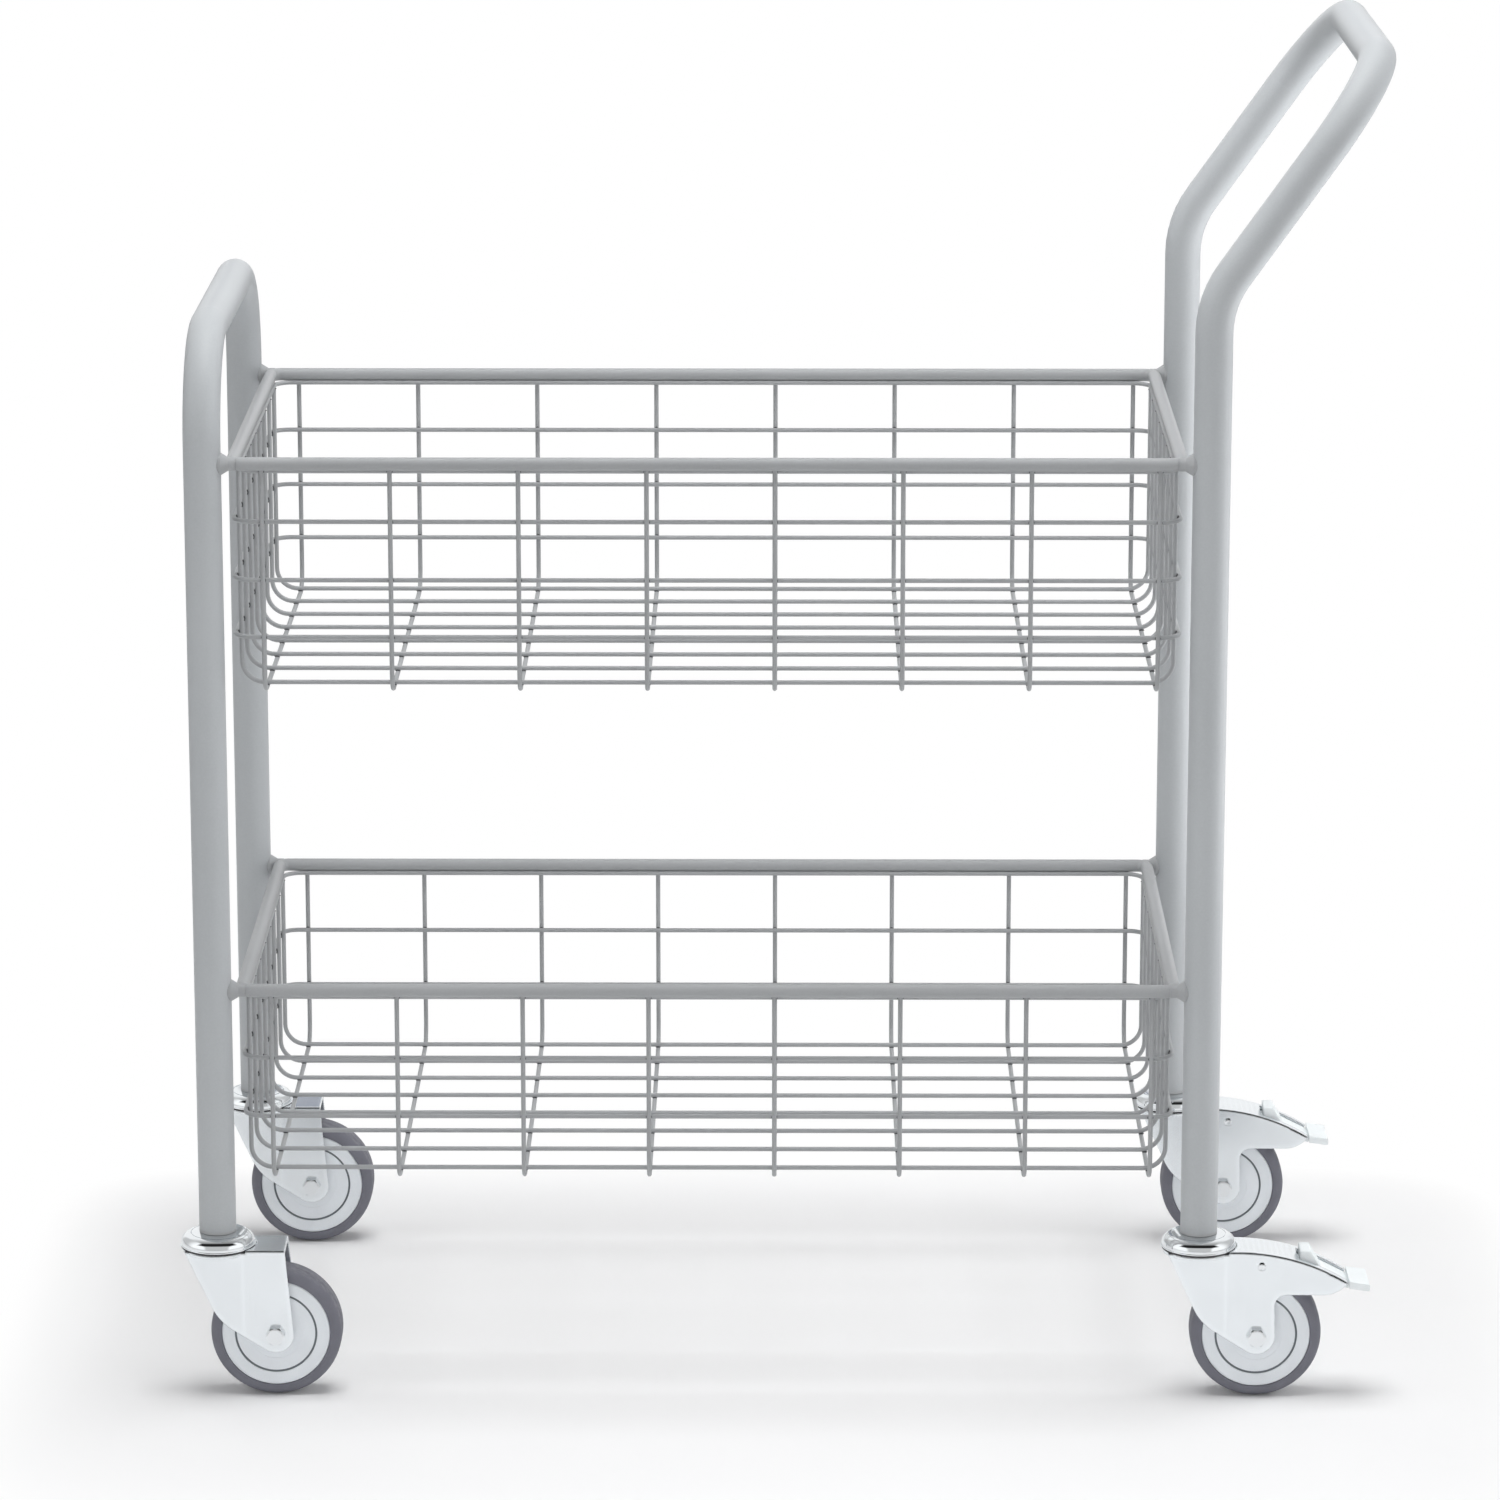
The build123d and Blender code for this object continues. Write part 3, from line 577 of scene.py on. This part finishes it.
class Wire:
    """A round wire drawn out of a ring by straight runs and quarter bends."""

    def __init__(self, shape, sizes, place, heading):
        self.shape = shape
        self.steps = sizes.bend_steps
        self.place = Vector(place)
        self.heading = Vector(heading)
        matrix = Matrix.Translation(self.place) @ self.heading.to_track_quat("Z", "Y").to_matrix().to_4x4()
        ring = bmesh.ops.create_circle(shape, cap_ends=False, segments=sizes.wire_sides,
                                       radius=sizes.wire_radius, matrix=matrix)
        self.start = list({edge for vert in ring["verts"] for edge in vert.link_edges})
        self.end = self.start

    def run(self, length):
        made = bmesh.ops.extrude_edge_only(self.shape, edges=self.end)["geom"]
        move = self.heading * length
        bmesh.ops.translate(self.shape, verts=verts_in(made), vec=move)
        self.end = [edge for edge in edges_in(made) if edge.is_boundary]
        self.place += move

    def bend(self, towards, radius):
        towards = Vector(towards)
        centre = self.place + towards * radius
        made = bmesh.ops.spin(self.shape, geom=self.end, cent=centre, axis=self.heading.cross(towards),
                              angle=math.pi / 2, steps=self.steps, use_merge=False, use_duplicate=False)
        self.end = edges_in(made["geom_last"])
        self.place = centre + self.heading * radius
        self.heading = towards

    def cut_ends(self, edge):
        # Closes both ends, with the sharp edge of the cut taken off.
        for ring in (self.start, self.end):
            bmesh.ops.edgeloop_fill(self.shape, edges=ring)
        round_off(self.shape, self.start + self.end, edge, 2)


def evenly(first, last, number):
    pitch = (last - first) / (number - 1)
    return [first + pitch * index for index in range(number)]


def repeat_along(shape, axis, places):
    # Copies all there is in the shape, which stands at zero on the axis, to each place.
    pattern = shape.verts[:] + shape.edges[:] + shape.faces[:]
    for place in places[1:]:
        made = bmesh.ops.duplicate(shape, geom=pattern)["geom"]
        bmesh.ops.translate(shape, verts=verts_in(made), vec=Vector(axis) * place)
    bmesh.ops.translate(shape, verts=verts_in(pattern), vec=Vector(axis) * places[0])


class BasketPlan:
    """Where a basket's wires lie, read from the boxes of its CAD nodes."""

    def __init__(self, name, sizes):
        radius = sizes.wire_radius
        rim_low, rim_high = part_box(name + "_rim")
        cross_low, cross_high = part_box(name + "_cross_wires")
        long_low, long_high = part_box(name + "_long_wires")
        hoop_low, hoop_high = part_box(name + "_hoop_wires")
        number = sizes.wires_each_way
        self.rim_z = (rim_low.z + rim_high.z) / 2
        self.middle_x = (long_low.x + long_high.x) / 2
        self.cross_x = evenly(cross_low.x + radius, cross_high.x - radius, number)
        self.cross_half = (cross_high.y - cross_low.y) / 2 - radius
        self.cross_z = cross_low.z + radius
        self.long_y = evenly(long_low.y + radius, long_high.y - radius, number)
        self.long_half = (long_high.x - long_low.x) / 2 - radius
        self.long_z = long_low.z + radius
        self.long_top = long_high.z
        self.hoop_half_x = (hoop_high.x - hoop_low.x) / 2 - radius
        self.hoop_half_y = (hoop_high.y - hoop_low.y) / 2 - radius
        self.top_hoop_z = hoop_high.z - radius
        depth = self.rim_z - self.long_z
        shares = sizes.upper_hoop_shares if name == "upper_basket" else sizes.lower_hoop_shares
        self.hoop_z = [self.rim_z - part * depth for part in shares]


def basket_plans(sizes):
    # Each basket's name and plan, with an empty shape to draw in.
    for name in BASKETS:
        yield name, BasketPlan(name, sizes), bmesh.new()


def u_wire(shape, sizes, side, half_span, top, bottom):
    # A wire bent to a U in the plane of side and the vertical, with its ends up.
    side = Vector(side)
    corner = sizes.wire_corner
    down = Vector((0, 0, -1))
    wire = Wire(shape, sizes, side * -half_span + Vector((0, 0, top)), down)
    wire.run(top - bottom - corner)
    wire.bend(side, corner)
    wire.run(2 * (half_span - corner))
    wire.bend(-down, corner)
    wire.run(top - bottom - corner)
    wire.cut_ends(sizes.cut_edge)


def hoop(shape, sizes, centre, half_x, half_y):
    # A closed hoop, from the middle of one long side round to its own start.
    corner = sizes.hoop_corner
    wire = Wire(shape, sizes, Vector(centre) - Vector((0, half_y, 0)), (1, 0, 0))
    wire.run(half_x - corner)
    for towards, half in (((0, 1, 0), half_y), ((-1, 0, 0), half_x), ((0, -1, 0), half_y)):
        wire.bend(towards, corner)
        wire.run(2 * (half - corner))
    wire.bend((1, 0, 0), corner)
    wire.run(half_x - corner)


def bead(shape, sizes, place, flat_axis):
    # A flattened weld bead, thinnest along the axis that joins the two wires.
    reach = sizes.bead_reach
    parts = [sizes.bead_height if part else reach for part in flat_axis]
    matrix = Matrix.Translation(place) @ Matrix.Diagonal((*parts, 1))
    bmesh.ops.create_uvsphere(shape, radius=1, matrix=matrix, **BEAD_SEGMENTS)


def turned(points, rounds, steps, centre, axis):
    """A closed section, spun about an axis. A point is a radius and a height, and rounds has the rounding of
    some corners by their number."""
    shape = bmesh.new()
    axis = Vector(axis)
    outwards = axis.orthogonal().normalized()
    centre = Vector(centre)
    verts = [shape.verts.new(centre + outwards * radius + axis * height) for radius, height in points]
    for first, second in zip(verts, verts[1:] + verts[:1]):
        shape.edges.new((first, second))
    for index, rounding in rounds.items():
        round_off(shape, [verts[index]], rounding, 6, "VERTICES")
    bmesh.ops.spin(shape, geom=shape.verts[:] + shape.edges[:], cent=centre, axis=axis, angle=2 * math.pi,
                   steps=steps, use_merge=True, use_duplicate=False)
    return shape


def mirrored(points, rounds):
    """Adds the mirror image of a half section, and of its rounded corners, beyond the middle plane."""
    total = 2 * len(points)
    both = list(points) + [(radius, -height) for radius, height in reversed(points)]
    all_rounds = dict(rounds)
    all_rounds.update({total - 1 - index: rounding for index, rounding in rounds.items()})
    return both, all_rounds


def middle(node):
    low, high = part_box(node)
    return (low + high) / 2


def foot_middle(low, high):
    return Vector(((low.x + high.x) / 2, (low.y + high.y) / 2, low.z))


def mark(piece, name, rule):
    """Gives a piece a point attribute whose value comes from each vertex's place."""
    attribute = piece.data.attributes.new(name, "FLOAT", "POINT")
    attribute.data.foreach_set("value", [rule(vertex.co) for vertex in piece.data.vertices])


def mould_on_wheels(context, part, half, rounds, name, rule):
    """Spins a part of each wheel. The rule gives the mark of a place, measured from the part's middle."""
    sizes = context.scene.mail_cart_casters
    points, all_rounds = mirrored(half, rounds)
    for caster in CASTERS:
        node = caster + part
        centre = middle(node)
        shape = turned(points, all_rounds, sizes.spin_steps, centre, (0, 1, 0))
        piece = add_piece(context, node + "_moulded", shape, node)
        mark(piece, name, lambda place: rule(sizes, place - centre))


# Pieces

class MAILCART_OT_cross_wires(bpy.types.Operator):
    """Draws the outer wires that cross each basket and hang from its rod"""
    bl_idname = "mail_cart.cross_wires"
    bl_label = "Cross wires"

    def execute(self, context):
        sizes = context.scene.mail_cart_baskets
        for name, plan, shape in basket_plans(sizes):
            top = plan.rim_z - sizes.rod_radius / 2
            u_wire(shape, sizes, (0, 1, 0), plan.cross_half, top, plan.cross_z)
            repeat_along(shape, (1, 0, 0), plan.cross_x)
            add_piece(context, name + "_cross_wires_drawn", shape, name + "_cross_wires")
        return {"FINISHED"}


class MAILCART_OT_long_wires(bpy.types.Operator):
    """Draws the inner wires that run along each basket and end under its top hoop"""
    bl_idname = "mail_cart.long_wires"
    bl_label = "Long wires"

    def execute(self, context):
        sizes = context.scene.mail_cart_baskets
        for name, plan, shape in basket_plans(sizes):
            u_wire(shape, sizes, (1, 0, 0), plan.long_half, plan.long_top, plan.long_z)
            bmesh.ops.translate(shape, verts=shape.verts, vec=(plan.middle_x, 0, 0))
            repeat_along(shape, (0, 1, 0), plan.long_y)
            add_piece(context, name + "_long_wires_drawn", shape, name + "_long_wires")
        return {"FINISHED"}


class MAILCART_OT_hoop_wires(bpy.types.Operator):
    """Draws the hoops round each basket's walls and the one under its rod"""
    bl_idname = "mail_cart.hoop_wires"
    bl_label = "Hoop wires"

    def execute(self, context):
        sizes = context.scene.mail_cart_baskets
        for name, plan, shape in basket_plans(sizes):
            hoop(shape, sizes, (plan.middle_x, 0, plan.top_hoop_z), plan.long_half, plan.hoop_half_y)
            for height in plan.hoop_z:
                hoop(shape, sizes, (plan.middle_x, 0, height), plan.hoop_half_x, plan.hoop_half_y)
            add_piece(context, name + "_hoop_wires_drawn", shape, name + "_hoop_wires")
        return {"FINISHED"}


class MAILCART_OT_weld_beads(bpy.types.Operator):
    """Puts a weld bead where two wires of a basket cross, and marks it for painted shade"""
    bl_idname = "mail_cart.weld_beads"
    bl_label = "Weld beads"

    def execute(self, context):
        sizes = context.scene.mail_cart_baskets
        radius = sizes.wire_radius
        for name, plan, shape in basket_plans(sizes):
            side_y = plan.cross_half - radius
            end_x = plan.long_half + radius
            for x in plan.cross_x:
                for y in plan.long_y:
                    bead(shape, sizes, (x, y, plan.long_z - radius), (0, 0, 1))
                for z in (plan.top_hoop_z, *plan.hoop_z):
                    for side in (-1, 1):
                        bead(shape, sizes, (x, side * side_y, z), (0, 1, 0))
            for y in plan.long_y:
                for end in (-1, 1):
                    for z in plan.hoop_z:
                        bead(shape, sizes, (plan.middle_x + end * end_x, y, z), (1, 0, 0))
                    bead(shape, sizes, (plan.middle_x + end * plan.long_half, y, plan.long_top), (0, 0, 1))
            beads = add_piece(context, name + "_weld_beads", shape, name + "_hoop_wires", stands_for=False)
            # Painted shade: every bead is coloured nearly black, standing in for the shade where the wires
            # cross.
            mark(beads, "burn", lambda place: 0.9)
        return {"FINISHED"}


class MAILCART_OT_swivel_caps(bpy.types.Operator):
    """Spins the chrome cap over each caster's swivel bearing"""
    bl_idname = "mail_cart.swivel_caps"
    bl_label = "Swivel caps"

    def execute(self, context):
        sizes = context.scene.mail_cart_casters
        for caster in CASTERS:
            node = caster + "_swivel_cap"
            low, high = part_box(node)
            lip_radius = (high.x - low.x) / 2
            height = high.z - low.z
            neck = lip_radius - sizes.cap_neck
            step = sizes.cap_step
            step_end = step + sizes.cap_step_width
            edge = height - sizes.cap_fall
            step_floor = edge - sizes.cap_step_depth
            points = (
                (sizes.cap_bore, sizes.cap_recess_depth),
                (sizes.cap_bore, height),
                (sizes.cap_top, height),
                (step, edge),
                (step, step_floor),
                (step_end, step_floor),
                (step_end, edge),
                (neck, edge),
                (neck, sizes.cap_lip),
                (lip_radius, sizes.cap_lip),
                (lip_radius, sizes.cap_lift),
                (sizes.cap_recess, sizes.cap_lift),
                (sizes.cap_recess, sizes.cap_recess_depth),
            )
            bulge = min(sizes.cap_bulge, neck - step_end - MERGE)
            rounds = {7: bulge, 9: sizes.cap_lip_edge, 10: sizes.cap_lip_edge / 2}
            shape = turned(points, rounds, sizes.spin_steps, foot_middle(low, high), (0, 0, 1))
            add_piece(context, node + "_spun", shape, node)
        return {"FINISHED"}


class MAILCART_OT_lip_shade_rings(bpy.types.Operator):
    """Spins a black ring into the gap under each swivel cap's lip: painted shade, a dark line where the lip
    overhangs
    """
    bl_idname = "mail_cart.dust_seals"
    bl_label = "Dust seals"

    def execute(self, context):
        sizes = context.scene.mail_cart_casters
        for caster in CASTERS:
            node = caster + "_swivel_cap"
            low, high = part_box(node)
            outer = (high.x - low.x) / 2 - sizes.cap_neck
            inner = sizes.cap_recess
            points = ((inner, 0), (outer, 0), (outer, sizes.cap_lift), (inner, sizes.cap_lift))
            rounds = {1: sizes.cap_lip_edge}
            shape = turned(points, rounds, sizes.spin_steps, foot_middle(low, high), (0, 0, 1))
            # The ring takes the black of the brake shoes as painted shade.
            add_piece(context, caster + "_dust_seal", shape, node, stands_for=False, slot="shoe_rubber")
        return {"FINISHED"}


class MAILCART_OT_wheel_hubs(bpy.types.Operator):
    """Spins each wheel's moulded hub, with its boss, dished disc, fine ring, groove and outer band"""
    bl_idname = "mail_cart.wheel_hubs"
    bl_label = "Wheel hubs"

    def execute(self, context):
        sizes = context.scene.mail_cart_casters
        side = sizes.hub_side
        disc_out = side - sizes.dish / 2
        half = (
            (sizes.hub_bore, sizes.boss_side),
            (sizes.boss_radius - sizes.dish, sizes.boss_side),
            (sizes.boss_radius, side + sizes.dish),
            (sizes.ring_radius, side + sizes.ring_height),
            (sizes.ring_radius, side + 2 * sizes.ring_height),
            (sizes.ring_radius + sizes.ring_width, side + 2 * sizes.ring_height),
            (sizes.ring_radius + sizes.ring_width, side + sizes.ring_height),
            (sizes.groove_inner, disc_out),
            (sizes.groove_inner, side - sizes.groove_depth),
            (sizes.groove_outer, side - sizes.groove_depth),
            (sizes.groove_outer, side),
            (sizes.hub_radius, side),
        )
        edge = sizes.hub_edge
        rounds = {1: edge, 7: edge / 3, 10: edge / 3, 11: edge}
        mould_on_wheels(context, "_wheel_hub", half, rounds, "depth", self.depth)
        return {"FINISHED"}

    # Marks the groove, where the hub gets painted shade.
    def depth(self, sizes, place):
        radius = math.hypot(place.x, place.z)
        in_groove = sizes.groove_inner - sizes.ring_width < radius < sizes.groove_outer + sizes.ring_width
        if in_groove and abs(place.y) < sizes.hub_side - sizes.groove_depth / 2:
            return 1
        return 0


class MAILCART_OT_tyres(bpy.types.Operator):
    """Spins each wheel's rubber tyre, with its mould line round the tread"""
    bl_idname = "mail_cart.tyres"
    bl_label = "Tyres"

    def execute(self, context):
        sizes = context.scene.mail_cart_casters
        crown = sizes.wheel_radius
        skin = crown - sizes.seam_height
        shoulder = crown - sizes.tyre_wall
        half = (
            (sizes.tyre_seat, sizes.tyre_side),
            (skin, sizes.tyre_side),
            (skin, sizes.seam_width),
            (crown, sizes.seam_width / 2),
        )
        mould_on_wheels(context, "_tyre", half, {0: sizes.tyre_bead, 1: shoulder}, "tread", self.tread)
        return {"FINISHED"}

    def tread(self, sizes, place):
        worn = math.hypot(place.x, place.z) - sizes.wheel_radius + 6 * sizes.seam_height
        return max(0.0, min(1.0, worn / (4 * sizes.seam_height)))


class MAILCART_OT_pedal_pins(bpy.types.Operator):
    """Spins the riveted pins that the brake pedals rock on"""
    bl_idname = "mail_cart.pedal_pins"
    bl_label = "Pedal pins"

    def execute(self, context):
        sizes = context.scene.mail_cart_casters
        for caster in BRAKED_CASTERS:
            node = caster + "_pedal_pin"
            low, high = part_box(node)
            end = (high.y - low.y) / 2
            face = end - sizes.pin_head_height
            half = (
                (0, end - sizes.pin_dimple_depth),
                (sizes.pin_dimple, end),
                (sizes.pin_head_flat, end),
                (sizes.pin_head, face + sizes.pin_head_rim),
                (sizes.pin_head, face),
                (sizes.pin_radius, face),
            )
            points, rounds = mirrored(half, {})
            shape = turned(points, rounds, sizes.spin_steps // 2, middle(node), (0, 1, 0))
            add_piece(context, node + "_riveted", shape, node)
        return {"FINISHED"}


class MAILCART_OT_release_tabs(bpy.types.Operator):
    """Moulds the wide block round the tab of each brake pedal, which the toe lifts to free the wheel"""
    bl_idname = "mail_cart.release_tabs"
    bl_label = "Release tabs"

    def execute(self, context):
        sizes = context.scene.mail_cart_casters
        for caster in BRAKED_CASTERS:
            axis = middle(caster + "_swivel_cap")
            fork_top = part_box(caster + "_fork")[1].z
            start = axis.x + sizes.tab_start
            top = fork_top - sizes.tab_drop
            foot = fork_top - sizes.tab_end_drop
            side = (
                (start, top - sizes.tab_height),
                (start, top),
                (start + sizes.tab_top_length, top),
                (start + sizes.tab_length, foot),
                (start + sizes.tab_length, foot - sizes.tab_back_height),
            )
            shape = bmesh.new()
            near = axis.y - sizes.tab_width / 2
            face = shape.faces.new([shape.verts.new((x, near, z)) for x, z in side])
            made = bmesh.ops.extrude_face_region(shape, geom=[face])["geom"]
            bmesh.ops.translate(shape, verts=verts_in(made), vec=(0, sizes.tab_width, 0))
            round_off(shape, shape.edges[:], sizes.tab_edge, 3)
            node = caster + "_brake_pedal"
            add_piece(context, caster + "_release_tab_moulded", shape, node, stands_for=False)
        return {"FINISHED"}


class MAILCART_OT_carried_over(bpy.types.Operator):
    """Gives each CAD piece that stays its finish"""
    bl_idname = "mail_cart.carried_over"
    bl_label = "Finish the CAD pieces"

    def execute(self, context):
        for name, node in frame["nodes"].items():
            material = finish_of(context, NODE_SLOTS[name])
            if not node.material_slots:
                node.data.materials.append(material)
            for place in node.material_slots:
                place.material = material
        return {"FINISHED"}


# Stage

# Tones of the room that gloss sees, where 1 is white.
ROOM_SIDE = (1.15,) * 3
ROOM_BRIGHT = (1,) * 3
ROOM_WALL = (0.6,) * 3
ROOM_GREY = (0.28,) * 3
ROOM_DARK = (0.02,) * 3
ROOM_DIM = (0.33, 0.35, 0.41)
# Its tone at each share of the half turn from the horizon in front, over the zenith, to the one behind.
ROOM_STRIP = (
    (0, ROOM_WALL),
    (0.23, ROOM_WALL),
    (0.25, ROOM_DARK),
    (0.43, ROOM_DARK),
    (0.45, ROOM_GREY),
    (0.62, ROOM_WALL),
    (0.76, ROOM_BRIGHT),
    (1, ROOM_BRIGHT),
)


def studio_room(finish, direction):
    """What gloss sees: a grey wall in front, a dark slot over it, a ceiling that brightens to a white wall
    behind with two dim patches low on it, and side walls that are brightest in front."""
    across, along, height = finish.split(direction)
    over = height.join("ARCTAN2", height, 0 - along) * (1 / math.pi)
    strip = finish.node("ShaderNodeValToRGB", {"stops": ROOM_STRIP}, {"Fac": over}).outputs[0]
    sides = finish.mix(finish.ramp(along, -0.2, 0.4), ROOM_SIDE, ROOM_WALL)
    slot = finish.ramp(over, 0.22, 0.34) * finish.ramp(over, 0.46, 0.34) * 0.2
    room = finish.mix(finish.ramp(across.join("ABSOLUTE", across, 0) - slot, 0.5, 0.68), strip, sides)
    left = finish.ramp(across, 0, -0.03) * finish.ramp(across, -0.15, -0.11)
    left = left * finish.ramp(over, 0.83, 0.86) * finish.ramp(over, 0.97, 0.94)
    right = finish.ramp(across, 0.2, 0.45) * finish.ramp(over, 0.82, 0.88) * 0.2
    return finish.mix(left + right, room, ROOM_DIM)


def light_world(context, stage):
    """Soft light from all round. The camera sees white, and gloss sees the studio room."""
    world = bpy.data.worlds.new("studio")
    context.scene.world = world
    finish = Finish(world)
    rays = finish.node("ShaderNodeLightPath").outputs
    direction = finish.node("ShaderNodeTexCoord").outputs["Generated"]
    height = finish.split(direction)[2]
    room = studio_room(finish, direction)
    level = finish.mix(finish.ramp(height, 0.05, 0.7), (stage.sky_low,) * 3, (stage.sky_high,) * 3)
    soft, gloss, plain = [finish.node("ShaderNodeBackground", None, {"Color": tone, "Strength": 1}).outputs[0]
                          for tone in (level, room, (1, 1, 1, 1))]
    lit = finish.blend(rays["Is Glossy Ray"], soft, gloss)
    seen = finish.blend(rays["Is Camera Ray"], lit, plain)
    finish.node("ShaderNodeOutputWorld", None, {"Surface": seen})


def add_lamp(context, name, place, width, target, power):
    """A square soft lamp that looks at its target and that neither gloss nor the camera sees."""
    data = bpy.data.lights.new(name, "AREA")
    data.shape = "SQUARE"
    data.size = width
    data.energy = power
    lamp = placed(context, name, data)
    lamp.location = place
    aim = Vector(target) - Vector(place)
    lamp.rotation_euler = aim.to_track_quat("-Z", "Y").to_euler()
    lamp.visible_glossy = False
    lamp.visible_camera = False


def add_floor(context, stage):
    """A pale floor that keeps the cart's shadow, fades to white round it and isn't seen from below."""
    shape = bmesh.new()
    bmesh.ops.create_grid(shape, x_segments=1, y_segments=1, size=stage.floor_size)
    data = bpy.data.meshes.new("floor")
    shape.to_mesh(data)
    shape.free()
    material = bpy.data.materials.new("floor_finish")
    finish = Finish(material)
    rays = finish.node("ShaderNodeLightPath").outputs
    across, along = finish.split(finish.place())[:2]
    long_share = (across * (1 / stage.shade_length)) ** 8
    wide_share = ((along - stage.shade_middle) * (1 / stage.shade_width)) ** 8
    fade = finish.ramp(long_share + wide_share, stage.shade_start, stage.shade_end)
    camera = Number(finish, rays["Is Camera Ray"])
    behind = Number(finish, finish.node("ShaderNodeNewGeometry").outputs["Backfacing"])
    grain = finish.noise(300, 2)
    tone = finish.mix(grain, shaded(stage.floor_tone, 0.99), stage.floor_tone)
    ground = finish.shader({"Base Color": tone, "Roughness": 0.6 + grain * 0.1, "Specular IOR Level": 0.2})
    white = finish.node("ShaderNodeEmission", None, {"Color": (1, 1, 1, 1), "Strength": 1}).outputs[0]
    clear = finish.node("ShaderNodeBsdfTransparent").outputs[0]
    seen = finish.blend(camera * fade, ground, white)
    finish.show(finish.blend(camera * behind, seen, clear))
    data.materials.append(material)
    floor = placed(context, "floor", data)


def add_camera(context, stage):
    data = bpy.data.cameras.new("camera")
    data.lens = stage.lens
    data.sensor_width = stage.sensor
    camera = placed(context, "camera", data)
    camera.location = stage.camera_place
    camera.rotation_euler = (math.pi / 2 - stage.camera_tilt, 0, stage.camera_turn)
    context.scene.camera = camera


class MAILCART_OT_stage(bpy.types.Operator):
    """Sets up the floor, the soft light and the camera"""
    bl_idname = "mail_cart.stage"
    bl_label = "Stage"

    def execute(self, context):
        stage = context.scene.mail_cart_stage
        light_world(context, stage)
        for name, (place, width, target, power) in LAMPS.items():
            add_lamp(context, name, place, width, target, getattr(stage, power))
        add_floor(context, stage)
        add_camera(context, stage)
        context.scene.view_settings.view_transform = "Standard"
        return {"FINISHED"}


class MAILCART_PT_panel(bpy.types.Panel):
    """Lists the cart's sizes, finishes and pieces"""
    bl_idname = "MAILCART_PT_panel"
    bl_label = "Mail cart"
    bl_space_type = "VIEW_3D"
    bl_region_type = "UI"
    bl_category = "Mail cart"

    def draw(self, context):
        for operator in OPERATORS:
            self.layout.operator(operator.bl_idname)
        for name in SETTINGS:
            settings = getattr(context.scene, name)
            column = self.layout.column(align=True)
            for prop in settings.bl_rna.properties:
                if prop.identifier not in ("rna_type", "name"):
                    column.prop(settings, prop.identifier)


SETTINGS = {
    "mail_cart_baskets": BasketSizes,
    "mail_cart_casters": CasterSizes,
    "mail_cart_finishes": FinishSettings,
    "mail_cart_stage": StageSettings,
}
OPERATORS = (
    MAILCART_OT_cross_wires,
    MAILCART_OT_long_wires,
    MAILCART_OT_hoop_wires,
    MAILCART_OT_weld_beads,
    MAILCART_OT_swivel_caps,
    MAILCART_OT_lip_shade_rings,
    MAILCART_OT_wheel_hubs,
    MAILCART_OT_tyres,
    MAILCART_OT_pedal_pins,
    MAILCART_OT_release_tabs,
    MAILCART_OT_carried_over,
    MAILCART_OT_stage,
)


def register():
    for made in (*SETTINGS.values(), *OPERATORS, MAILCART_PT_panel):
        bpy.utils.register_class(made)
    for name, group in SETTINGS.items():
        setattr(bpy.types.Scene, name, PointerProperty(type=group))


def unregister():
    for name in SETTINGS:
        delattr(bpy.types.Scene, name)
    for made in reversed((*SETTINGS.values(), *OPERATORS, MAILCART_PT_panel)):
        bpy.utils.unregister_class(made)


def main():
    register()
    bpy.ops.mail_cart.cross_wires()
    bpy.ops.mail_cart.long_wires()
    bpy.ops.mail_cart.hoop_wires()
    bpy.ops.mail_cart.weld_beads()
    bpy.ops.mail_cart.swivel_caps()
    bpy.ops.mail_cart.dust_seals()
    bpy.ops.mail_cart.wheel_hubs()
    bpy.ops.mail_cart.tyres()
    bpy.ops.mail_cart.pedal_pins()
    bpy.ops.mail_cart.release_tabs()
    bpy.ops.mail_cart.carried_over()
    bpy.ops.mail_cart.stage()


if __name__ == "__main__":
    main()
